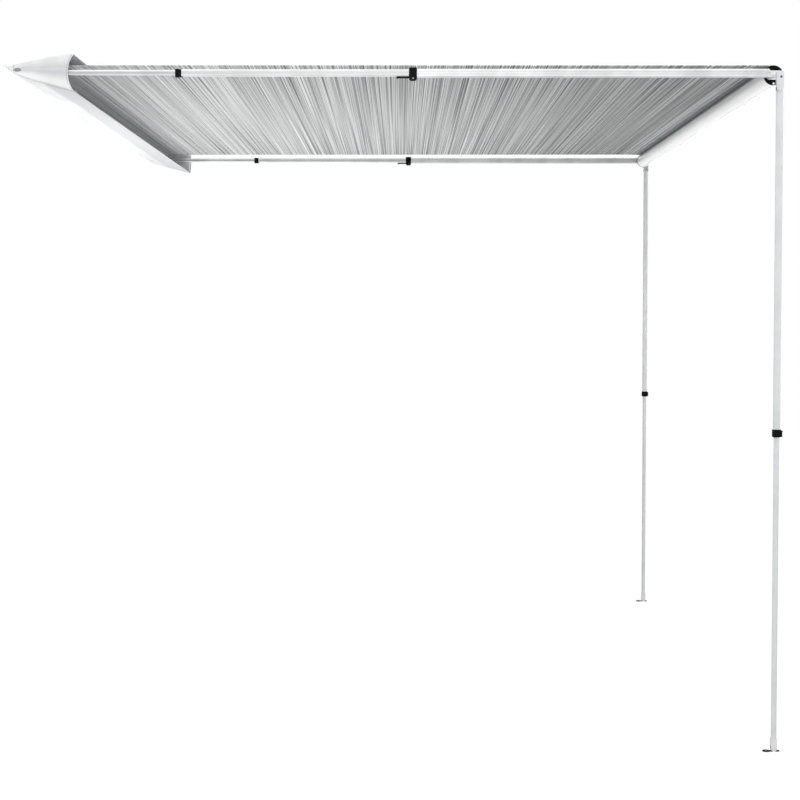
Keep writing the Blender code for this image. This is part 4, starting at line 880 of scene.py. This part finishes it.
def joined(sheets: list[BMesh]) -> BMesh:
    """Puts several sheets in one mesh and sews the edges that meet.

    Args:
        sheets: The sheets, which are freed.

    Returns:
        The one mesh, with its faces turned outward.
    """
    whole = bmesh.new()
    for sheet in sheets:
        mesh = bpy.data.meshes.new("sheet")
        sheet.to_mesh(mesh)
        sheet.free()
        whole.from_mesh(mesh)
        bpy.data.meshes.remove(mesh)
    bmesh.ops.remove_doubles(whole, verts=whole.verts[:], dist=SEWN_WITHIN)
    bmesh.ops.recalc_face_normals(whole, faces=whole.faces[:])
    return whole


def tube(
    name: str, points: list[Vector], radius: float, material: Material, closed: bool = False
) -> Object:
    """A round cord, binding or coil along a line.

    Args:
        name: The piece's name.
        points: The line that it follows.
        radius: Its radius.
        material: Its material.
        closed: Whether its end meets its start.

    Returns:
        The new object, at the origin.
    """
    curve = bpy.data.curves.new(name, "CURVE")
    curve.dimensions = "3D"
    curve.bevel_depth = radius
    curve.bevel_resolution = 2
    curve.use_fill_caps = not closed
    line = curve.splines.new("POLY")
    line.points.add(len(points) - 1)
    for spot, point in zip(line.points, points):
        spot.co = (*point, 1.0)
    line.use_cyclic_u = closed
    curve.materials.append(material)
    made = bpy.data.objects.new(name, curve)
    bpy.context.scene.collection.objects.link(made)
    return made


def thicken(piece: Object, thickness: float, lining: int = 0) -> None:
    """Gives a sheet its thickness, half to each side.

    Args:
        piece: The sheet.
        thickness: How thick it is.
        lining: How many material slots further the inner side's material is.
    """
    wall = piece.modifiers.new("thickness", "SOLIDIFY")
    wall.thickness = thickness
    wall.offset = 0.0
    wall.material_offset = lining


@dataclass(frozen=True)
class Canopy:
    """The awning cloth, its beaded tail on the wall side and its hems.

    A reach is how far out from the wall a point is, and a height how far above the frame's origin. An
    angle goes around the roller's axis, in degrees, from straight out and upward.
    """

    finishes: Finishes
    half_width: float = 1.5442
    thickness: float = 0.0012
    columns: int = 236
    rows: int = 80
    bead_at: Point = (0.0204, 0.0030)
    bead_radius: float = 0.0029
    pocket_radius: float = 0.0028
    level: float = 0.0180
    rise_start: float = 0.028
    rise_end: float = 0.150
    join_at: float = 0.146
    join_lap: float = 0.012
    tail_thickness: float = 0.00108
    tail_columns: int = 24
    tail_rows: int = 60
    dip: float = 0.00132
    dip_length: float = 0.024
    roller_axis: Point = (2.5, -0.0147)
    roller_travel: float = 1.05
    slot_angle: float = 75.0
    slot_depth: float = 0.0046
    wrap_lift: float = 0.0008
    arc_columns: int = 4
    slack: float = 0.004
    hem_thickness: float = 0.00096
    hem_width: float = 0.024
    hem_inset: float = 0.0002
    hem_rows: int = 2
    hem_end: float = 2.484
    roller_hem: float = 0.045
    roller_hem_inset: float = 0.0004
    flat_columns: int = 6
    hug_radius: float = 0.0329
    hug_angle: float = 150.0
    hug_columns: int = 10

    def height(self, reach: float) -> float:
        """How high the cloth runs at a reach from the wall."""
        share = (reach - self.rise_start) / (self.rise_end - self.rise_start)
        return self.bead_at[1] + (self.level - self.bead_at[1]) * smoothstep(share)

    def around_roller(self, radius: float, angle: float) -> Point:
        """The reach and height of a point around the roller's axis."""
        reach, height = self.roller_axis
        return (reach + radius * math.cos(angle), height + radius * math.sin(angle))

    def line(self, start: float, end: float, columns: int) -> list[Point]:
        """The cloth's line between two reaches.

        Args:
            start: The reach that it starts at.
            end: The reach that it ends at.
            columns: How many pieces it has.

        Returns:
            Its points, as reach and height.
        """
        reaches = [start + (end - start) * step / columns for step in range(columns + 1)]
        return [(reach, self.height(reach)) for reach in reaches]

    def sheet(self, line: list[Point], sides: Point, rows: int, slack: float = 0.0) -> BMesh:
        """A sheet that follows a line from the wall outward.

        Args:
            line: The line, as reach and height.
            sides: The Y of its two sides.
            rows: How many rows of faces it has from side to side.
            slack: How far its middle hangs down.

        Returns:
            The sheet.
        """
        steps = [math.dist(a, b) for a, b in zip(line, line[1:])]
        lengths = [sum(steps[:at]) + line[0][0] for at in range(len(line))]
        last = len(line) - 1

        def place(u: float, v: float) -> tuple[Vector, Point]:
            """A point of the sheet.

            Args:
                u: The share of the way along the line.
                v: The share of the way from side to side.

            Returns:
                The point and where it was on the flat cloth.
            """
            at = round(u * last)
            y = sides[0] + (sides[1] - sides[0]) * v
            hang = slack * math.sin(math.pi * u) * (1 - (y / self.half_width) ** 2)
            return Vector((line[at][0], y, line[at][1] - hang)), (lengths[at], y)

        sheet = sheet_grid(last, rows, place)
        bmesh.ops.recalc_face_normals(sheet, faces=sheet.faces[:])
        return sheet

    def build_cloth(self) -> Object:
        """The cloth itself, which runs from the tail's seam over the roller into its slot.

        Returns:
            The cloth, from the tail's seam to the slot in the roller.
        """
        line = self.line(self.join_at, self.roller_axis[0], self.columns)
        for step in range(1, self.arc_columns + 1):
            share = step / self.arc_columns
            radius = self.level - self.roller_axis[1] + self.wrap_lift * share
            angle = math.radians(90 + (self.slot_angle - 90) * share)
            line.append(self.around_roller(radius, angle))
        sides = (-self.half_width, self.half_width)
        sheet = self.sheet(line, sides, self.rows, self.slack)
        cloth = mesh_object("canopy_cloth", sheet, self.finishes.cloth)
        thicken(cloth, self.thickness)
        return cloth

    def build_hems(self) -> Object:
        """The two side hems, turned under and stitched.

        Returns:
            Both hems, which end where the roller hem starts.
        """
        end = self.hem_end - self.roller_hem
        lowered = [
            (reach, height - self.thickness)
            for reach, height in self.line(self.join_at, end, self.columns)
        ]
        strips = []
        for side in End:
            edge = side.value * (self.half_width - self.hem_inset)
            inner = side.value * (self.half_width - self.hem_width)
            strips.append(self.sheet(lowered, (edge, inner), self.hem_rows))
        hems = mesh_object("canopy_hems", joined(strips), self.finishes.cloth)
        thicken(hems, self.hem_thickness)
        return hems

    def build_roller_hem(self) -> Object:
        """The doubled hem band that hugs the roller's inner side, a real hem whose darker colour is
        painted shade from the roller.

        Returns:
            The band, flat under the cloth and then curved around the roller.
        """
        height = self.level - 2 * self.thickness
        meets = math.pi - math.asin((height - self.roller_axis[1]) / self.hug_radius)
        arc = []
        for step in range(self.hug_columns + 1):
            angle = meets + (math.radians(self.hug_angle) - meets) * step / self.hug_columns
            arc.append(self.around_roller(self.hug_radius, angle))
        start = self.hem_end - self.roller_hem
        length = arc[0][0] - start
        shares = [step / self.flat_columns for step in range(self.flat_columns)]
        flat = [(start + length * share, height) for share in shares]
        edge = self.half_width - self.roller_hem_inset
        sheet = self.sheet([*flat, *arc], (-edge, edge), self.rows)
        band = mesh_object("canopy_roller_hem", sheet, self.finishes.doubled)
        thicken(band, self.hem_thickness)
        return band

    def build_tail(self) -> Object:
        """The coated tail that joins the cloth to the bead in the wall profile.

        Returns:
            The tail, whose outer edge dips under the cloth.
        """
        end = self.join_at + self.join_lap
        line = [self.bead_at, *self.line(self.rise_start, end, self.tail_columns)]
        lapped = []
        for reach, height in line:
            under = smoothstep(1 + (reach - self.join_at) / self.dip_length)
            lapped.append((reach, height - self.dip * under))
        sides = (-self.half_width, self.half_width)
        sheet = self.sheet(lapped, sides, self.tail_rows)
        tail = mesh_object("canopy_tail", sheet, self.finishes.tail)
        thicken(tail, self.tail_thickness)
        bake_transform(tail)
        return tail

    def build_bead(self, name: str, at: Point, radius: float, body: Body) -> Object:
        """A round bead along Y.

        Args:
            name: The bead's name.
            at: Its reach and height.
            radius: Its radius.
            body: The body that it rides on.

        Returns:
            The bead.
        """
        ends = [Vector((at[0], end.value * self.half_width, at[1])) for end in End]
        bead = tube(name, ends, radius, self.finishes.welt)
        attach(bead, body.value)
        return bead

    def build(self) -> list[Object]:
        """Makes the cloth, hems, tail and beads.

        Returns:
            The canopy's pieces.
        """
        cloth, hems, band = self.build_cloth(), self.build_hems(), self.build_roller_hem()
        anchor = (self.join_at, 0, self.height(self.join_at))
        for piece in (cloth, hems):
            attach(piece, Body.RAFTERS.value)
            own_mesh(piece)
        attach(band, Body.FRONT.value)
        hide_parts("canopy")
        slot = math.radians(self.slot_angle)
        depth = self.level - self.roller_axis[1] - self.slot_depth - self.thickness
        pocket = self.around_roller(depth, slot)
        return [
            cloth,
            hems,
            band,
            self.build_tail(),
            self.build_bead("canopy_wall_bead", self.bead_at, self.bead_radius, Body.WALL),
            self.build_bead("canopy_roller_bead", pocket, self.pocket_radius, Body.ROLLER),
        ]


@dataclass(frozen=True)
class Bag:
    """The coated bag: two long flaps and two ends that fold in, one sewn shell.

    Every share u runs from the wall to the lip. The crease's reach and depth are given at a few
    places along the bag.
    """

    finishes: Finishes
    half_length: float = 1.600
    thickness: float = 0.0016
    columns: int = 20
    rows: int = 160
    end_rows: int = 24
    reaches: Point = (0.001, 0.1975)
    top_heights: Point = (0.0111, 0.0474)
    bottom_heights: Point = (-0.0126, -0.0734)
    top_bow: float = 0.004
    crease_along: tuple[float, ...] = (-1.6, -1.56, -1.1, -0.4, 0.4, 1.6)
    crease_reach: tuple[float, ...] = (0.043, 0.046, 0.072, 0.052, 0.030, 0.014)
    crease_depth: tuple[float, ...] = (0.0040, 0.0120, 0.0130, 0.0130, 0.0110, 0.0080)
    crease_column: float = 0.4
    fold_heights: Point = (-0.0008, 0.0052)
    fold_depth: float = 0.007
    fold_opening: float = 2.2
    fold_sharpness: float = 2.4
    mouth_recess: tuple[tuple[End, float], ...] = ((End.NEAR, 0.020), (End.FAR, -0.006))
    wrinkle: float = 0.0016
    wrinkles_end: float = 1.15
    waves: Point = (1.5, 3.2)
    top_layer: float = 3.0
    bottom_layer: float = 8.0
    plug_at: Point = (0.0150, -0.0040)
    plug_size: Point = (0.0112, 0.0055)
    plug_thickness: float = 0.0016
    plug_rim: float = 0.00064
    plug_segments: int = 40
    binding_radius: float = 0.0014
    coil_radius: float = 0.0015
    coil_set_back: float = 0.006
    coil_share: float = 0.99

    def between(self, ends: Point, share: float) -> float:
        """A value between two ends."""
        return ends[0] + (ends[1] - ends[0]) * share

    def rows_along(self, share: float) -> list[float]:
        """The Y of each row of faces, over a share of the bag's length."""
        half = self.half_length * share
        return [half * (2 * step / self.rows - 1) for step in range(self.rows + 1)]

    def ruck(self, u: float, y: float, layer: float) -> float:
        """How far the slack coat stands off, from one long wave to the next.

        Args:
            u: The share of the way from the wall to the lip, which both hold it flat.
            y: Where along the bag.
            layer: The flap's own layer of the noise.

        Returns:
            The height of the wave there.
        """
        free = math.sin(math.pi * min(u * self.wrinkles_end, 1.0))
        spot = Vector((u * self.waves[0], y * self.waves[1], layer))
        return self.wrinkle * free * noise.noise(spot)

    def top(self, u: float, y: float) -> Vector:
        """A point of the top flap.

        Args:
            u: The share of the way from the wall to the lip.
            y: Where along the bag.

        Returns:
            The point.
        """
        bow = self.top_bow * bulge(u) + self.ruck(u, y, self.top_layer)
        reach = self.between(self.reaches, u)
        return Vector((reach, y, self.between(self.top_heights, u) + bow))

    def bottom(self, u: float, y: float) -> Vector:
        """A point of the bottom flap, which hangs down to a crease and then runs to the lip.

        Args:
            u: The share of the way from the wall to the lip.
            y: Where along the bag.

        Returns:
            The point.
        """
        crease_reach = float(np.interp(y, self.crease_along, self.crease_reach))
        depth = float(np.interp(y, self.crease_along, self.crease_depth))
        crease = (crease_reach - self.reaches[0]) / (self.reaches[1] - self.reaches[0])
        if u <= self.crease_column:
            part = u / self.crease_column
            share, hang = crease * part, depth * math.sin(math.pi / 2 * part)
        else:
            part = (u - self.crease_column) / (1 - self.crease_column)
            share, hang = crease + (1 - crease) * part, depth * (1 - part)
        hang += self.ruck(u, y, self.bottom_layer)
        reach = self.between(self.reaches, share)
        return Vector((reach, y, self.between(self.bottom_heights, share) - hang))

    def gusset(self, end: End, u: float, v: float) -> Vector:
        """A point of a folded end.

        Args:
            end: The end that it is at.
            u: The share of the way from the wall to the mouth.
            v: The share of the way from the bottom flap to the top flap.

        Returns:
            The point, which lies inward along the valley fold.
        """
        y = end.value * self.half_length
        low, high = self.bottom(u, y), self.top(u, y)
        fold = self.between(self.fold_heights, u)
        height = low.z + (fold - low.z) * 2 * v if v < 0.5 else fold + (high.z - fold) * (2 * v - 1)
        rise = (height - low.z) / (high.z - low.z)
        recess = dict(self.mouth_recess)[end] * u * bulge(rise)
        crest = (1 - abs(2 * v - 1)) ** self.fold_sharpness
        inward = self.fold_depth * smoothstep(self.fold_opening * u) * crest
        reach = low.x + (high.x - low.x) * rise - recess
        return Vector((reach, y - end.value * inward, height))

    def long_flap(self, surface: Callable[[float, float], Vector], v_from: float) -> BMesh:
        """One of the two long flaps.

        Args:
            surface: Gives its point for a share u and a Y.
            v_from: Where its flat cloth starts.

        Returns:
            Its sheet.
        """

        def place(u: float, v: float) -> tuple[Vector, Point]:
            """A point of the flap, and where it was on the flat cloth."""
            return surface(u, self.half_length * (2 * v - 1)), (u, v + v_from)

        return sheet_grid(self.columns, self.rows, place)

    def folded_end(self, end: End) -> BMesh:
        """One of the two folded ends.

        Args:
            end: The end that it is at.

        Returns:
            Its sheet.
        """

        def place(u: float, v: float) -> tuple[Vector, Point]:
            """A point of the end, and where it was on the flat cloth."""
            return self.gusset(end, u, v), (u + ENDS_U, v)

        return sheet_grid(self.columns, self.end_rows, place)

    def build_shell(self) -> Object:
        """The sewn shell, white outside and grey inside.

        Returns:
            The shell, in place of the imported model's four plain parts.
        """
        sheets = [self.long_flap(self.top, 0.0), self.long_flap(self.bottom, BOTTOM_FLAP_V)]
        sheets += [self.folded_end(end) for end in End]
        wears = self.finishes
        shell = mesh_object("bag_shell", joined(sheets), wears.bag_outside, wears.bag_inside)
        thicken(shell, self.thickness, lining=1)
        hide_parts("bag_top_flap", "bag_bottom_flap", "near_bag_end", "far_bag_end")
        return shell

    def mouth(self) -> list[Vector]:
        """The free edge of the shell.

        Returns:
            Its points, once round.
        """
        along = self.rows_along(1.0)
        down = [1 - step / self.end_rows for step in range(1, self.end_rows)]
        edge = [self.top(1.0, y) for y in along]
        edge += [self.gusset(End.FAR, 1.0, v) for v in down]
        edge += [self.bottom(1.0, y) for y in reversed(along)]
        edge += [self.gusset(End.NEAR, 1.0, v) for v in reversed(down)]
        return edge

    def build_plug(self, end: End) -> Object:
        """The oval plug that closes the wall profile's end, through the folded end's corner.

        Args:
            end: The end that it is at.

        Returns:
            The plug.
        """
        plug = bmesh.new()
        bmesh.ops.create_circle(plug, cap_ends=True, segments=self.plug_segments, radius=1.0)
        bmesh.ops.scale(plug, verts=plug.verts[:], vec=(*self.plug_size, 1.0))
        bmesh.ops.rotate(plug, verts=plug.verts[:], matrix=Matrix.Rotation(math.pi / 2, 3, "X"))
        face = plug.faces[:]
        grown = bmesh.ops.extrude_face_region(plug, geom=face)["geom"]
        raised = [item for item in grown if isinstance(item, BMVert)]
        outward = Vector((0, end.value * self.plug_thickness, 0))
        bmesh.ops.translate(plug, verts=raised, vec=outward)
        rim = [edge for edge in plug.edges if all(vert in raised for vert in edge.verts)]
        bmesh.ops.bevel(
            plug,
            geom=rim,
            offset=self.plug_rim,
            affect="EDGES",
            segments=2,
            profile=0.5,
            material=-1,
        )
        at = (self.plug_at[0], end.value * (self.half_length + self.thickness / 4), self.plug_at[1])
        bmesh.ops.translate(plug, verts=plug.verts[:], vec=at)
        bmesh.ops.recalc_face_normals(plug, faces=plug.faces[:])
        return mesh_object(f"{end.name.lower()}_profile_plug", plug, self.finishes.plug)

    def build(self) -> list[Object]:
        """Makes the shell, its bound edge, the zip's two coils and the profile's end plugs.

        Returns:
            The bag's pieces.
        """
        pieces = [self.build_shell(), *(self.build_plug(end) for end in End)]
        pieces.append(
            tube("bag_binding", self.mouth(), self.binding_radius, self.finishes.welt, True)
        )
        inset = 1 - self.coil_set_back / (self.reaches[1] - self.reaches[0])
        lift = Vector((0, 0, self.thickness / 2 + self.coil_radius))
        along = self.rows_along(self.coil_share)
        upper = [self.top(inset, y) - lift for y in along]
        lower = [self.bottom(inset, y) + lift for y in along]
        for name, line in (("zip_coil_upper", upper), ("zip_coil_lower", lower)):
            pieces.append(tube(name, line, self.coil_radius, self.finishes.zip_coil))
        for piece in pieces:
            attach(piece, Body.WALL.value)
        return pieces


@dataclass(frozen=True)
class Carried:
    """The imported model's own pieces, which keep their shape and get a finish."""

    finishes: Finishes

    def finish_of(self, node: str) -> Material:
        """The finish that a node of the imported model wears.

        Args:
            node: The node's name.

        Returns:
            Its material.
        """
        wears = self.finishes
        by_ending = {
            ("wall_profile",): wears.profile,
            ("keder_strip",): wears.welt,
            ("zip_slider",): wears.plug,
            ("_swing_pin", "_fold_pin", "_rivet"): wears.dark_steel,
            ("_pin", "_screw"): wears.bright_steel,
            ("_rafter_outer",): wears.outer_rafter,
            ("_rafter_middle",): wears.middle_rafter,
            ("_rafter_inner",): wears.inner_rafter,
            ("roller_tube",): wears.roller,
            ("_bracket", "_eye", "_rafter_head", "_boot"): wears.castings,
            ("_cap", "_clamp", "_collar", "_lever", "_plate"): wears.nylon,
        }
        for endings, material in by_ending.items():
            if node.endswith(endings):
                return material
        return wears.legs

    def build(self, nodes: dict[str, Object]) -> list[Object]:
        """Puts a finish on every node that still shows.

        Args:
            nodes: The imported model's nodes, by name.

        Returns:
            The nodes that show.
        """
        shown = [node for node in nodes.values() if not node.hide_render]
        for node in shown:
            material = self.finish_of(node.name)
            for slot in node.material_slots:
                slot.material = material
        return shown


@dataclass(frozen=True)
class Lamp:
    """A soft lamp.

    Its size and length are its two sides, and a length of 0 makes it square. Its power is in watts, and
    its spread is the beam's angle in degrees.
    """

    name: str
    at: Place
    aim: Place
    size: float
    power: float
    length: float = 0.0
    spread: float = 180.0

    def build(self) -> None:
        """Hangs the lamp."""
        lamp = bpy.data.lights.new(self.name, "AREA")
        lamp.shape = "RECTANGLE"
        lamp.size = self.length or self.size
        lamp.size_y = self.size
        lamp.spread = math.radians(self.spread)
        lamp.energy = self.power
        made = bpy.data.objects.new(self.name, lamp)
        made.location = self.at
        made.rotation_mode = "QUATERNION"
        made.rotation_quaternion = (Vector(self.aim) - Vector(self.at)).to_track_quat("-Z", "Y")
        bpy.context.scene.collection.objects.link(made)


@dataclass(frozen=True)
class Studio:
    """A white studio: pale floor, soft lamps and the photograph's camera."""

    ground: float = -2.263
    floor_reach: float = 1.2
    floor_half: float = 60.0
    floor_tone: str = "#8C8C8C"
    floor_shown: str = "#F4F4F4"
    floor_glow: float = 0.85
    floor_white: float = 1.08
    daylight: float = 0.60
    lens_mm: float = 78.87
    sensor_mm: float = 36.0
    sight: float = 200.0
    camera_at: Place = (1.267, -7.377, -0.8247)
    camera_pitch: float = -2.584
    lamps: tuple[Lamp, ...] = (
        Lamp("top_lamp", (1.0, -1.0, 5.0), (1.0, -0.6, 0.0), 4.0, 105),
        Lamp("front_lamp", (1.0, -8.6, 0.9), (1.2, -1.5, -0.4), 2.0, 245),
        Lamp("low_near_lamp", (0.5, -1.3, -1.95), (-0.3, -1.1, 0.0), 0.8, 11),
        Lamp("low_middle_lamp", (0.9, 0.3, -1.95), (0.1, 0.3, 0.0), 1.2, 13),
        Lamp("low_far_lamp", (0.9, 1.6, -1.95), (-0.1, 1.4, 0.0), 0.8, 20),
        Lamp("left_lamp", (-1.3, -0.3, -1.2), (0.0, -0.3, 0.0), 0.8, 20),
        Lamp("side_lamp", (6.5, 0.0, -0.60), (2.5, 0.0, 0.0), 2.0, 55),
        Lamp("roller_lamp", (3.30, 0.0, -2.2), (2.725, 0.0, 0.0), 0.10, 17, 3.4, 14.0),
    )

    def seen(self, tree: NodeTree) -> Node:
        """A node that says whether the camera, a reflection or glass looks at a surface.

        Args:
            tree: The node tree it goes in.

        Returns:
            The node, whose first output is 1 for such a look and 0 for light.
        """
        paths = add_node(tree, "ShaderNodeLightPath")
        shown = paths.outputs["Is Camera Ray"]
        for kind in ("Is Glossy Ray", "Is Transmission Ray"):
            feeds = {0: shown, 1: paths.outputs[kind]}
            node = add_node(tree, "ShaderNodeMath", feeds, operation="MAXIMUM")
            shown = node.outputs[0]
        return node

    def backdrop(self) -> Material:
        """White to the camera and in reflections, with a faint shadow kept on it.

        Returns:
            The floor's material.
        """
        made = bpy.data.materials.new("studio_floor")
        made.use_nodes = True
        tree = made.node_tree
        tree.nodes.clear()
        seen = self.seen(tree)
        share = add_node(
            tree, "ShaderNodeMath", {0: seen, 1: self.floor_glow}, operation="MULTIPLY"
        )
        feeds = {0: seen, 6: linear(self.floor_tone), 7: linear(self.floor_shown)}
        tone = add_node(tree, "ShaderNodeMix", feeds, **BLENDED)
        pale = add_node(tree, "ShaderNodeBsdfDiffuse", {"Color": tone.outputs[2]})
        white = add_node(tree, "ShaderNodeEmission", {"Strength": self.floor_white})
        mix = add_node(tree, "ShaderNodeMixShader", {0: share, 1: pale, 2: white})
        add_node(tree, "ShaderNodeOutputMaterial", {"Surface": mix})
        return made

    def build_floor(self) -> None:
        """The floor, which isn't part of the awning."""
        plane = bmesh.new()
        bmesh.ops.create_grid(plane, x_segments=1, y_segments=1, size=self.floor_half)
        at = (self.floor_reach, 0, self.ground)
        bmesh.ops.translate(plane, verts=plane.verts[:], vec=at)
        mesh_object("studio_floor", plane, self.backdrop())

    def build_world(self) -> None:
        """The surroundings: white to the camera, a soft grey as light."""
        world = bpy.data.worlds.new("studio")
        bpy.context.scene.world = world
        world.use_nodes = True
        tree = world.node_tree
        tree.nodes.clear()
        light = add_node(
            tree, "ShaderNodeBackground", {"Color": (1, 1, 1, 1), "Strength": self.daylight}
        )
        white = add_node(tree, "ShaderNodeBackground", {"Color": (1, 1, 1, 1), "Strength": 1.0})
        mix = add_node(tree, "ShaderNodeMixShader", {0: self.seen(tree), 1: light, 2: white})
        add_node(tree, "ShaderNodeOutputWorld", {"Surface": mix})

    def build_camera(self) -> None:
        """The photograph's camera."""
        lens = bpy.data.cameras.new("camera")
        lens.lens = self.lens_mm
        lens.sensor_width = self.sensor_mm
        lens.clip_end = self.sight
        made = bpy.data.objects.new("camera", lens)
        made.location = self.camera_at
        made.rotation_euler = (math.radians(90 + self.camera_pitch), 0, 0)
        bpy.context.scene.collection.objects.link(made)
        bpy.context.scene.camera = made

    def build(self) -> None:
        """Sets the stage."""
        self.build_floor()
        self.build_world()
        for lamp in self.lamps:
            lamp.build()
        self.build_camera()
        bpy.context.scene.view_settings.view_transform = "Standard"


def main() -> None:
    """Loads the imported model, dresses it and sets the stage."""
    logging.basicConfig(level=logging.INFO, format="%(name)s: %(message)s")
    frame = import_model()
    Studio().build()
    finishes = Finishes.build()
    for part in (Canopy(finishes), Bag(finishes)):
        for piece in part.build():
            LOG.info("%s: %s", type(part).__name__, piece.name)
    for piece in Carried(finishes).build(frame["nodes"]):
        LOG.info("Carried: %s", piece.name)


if __name__ == "__main__":
    main()
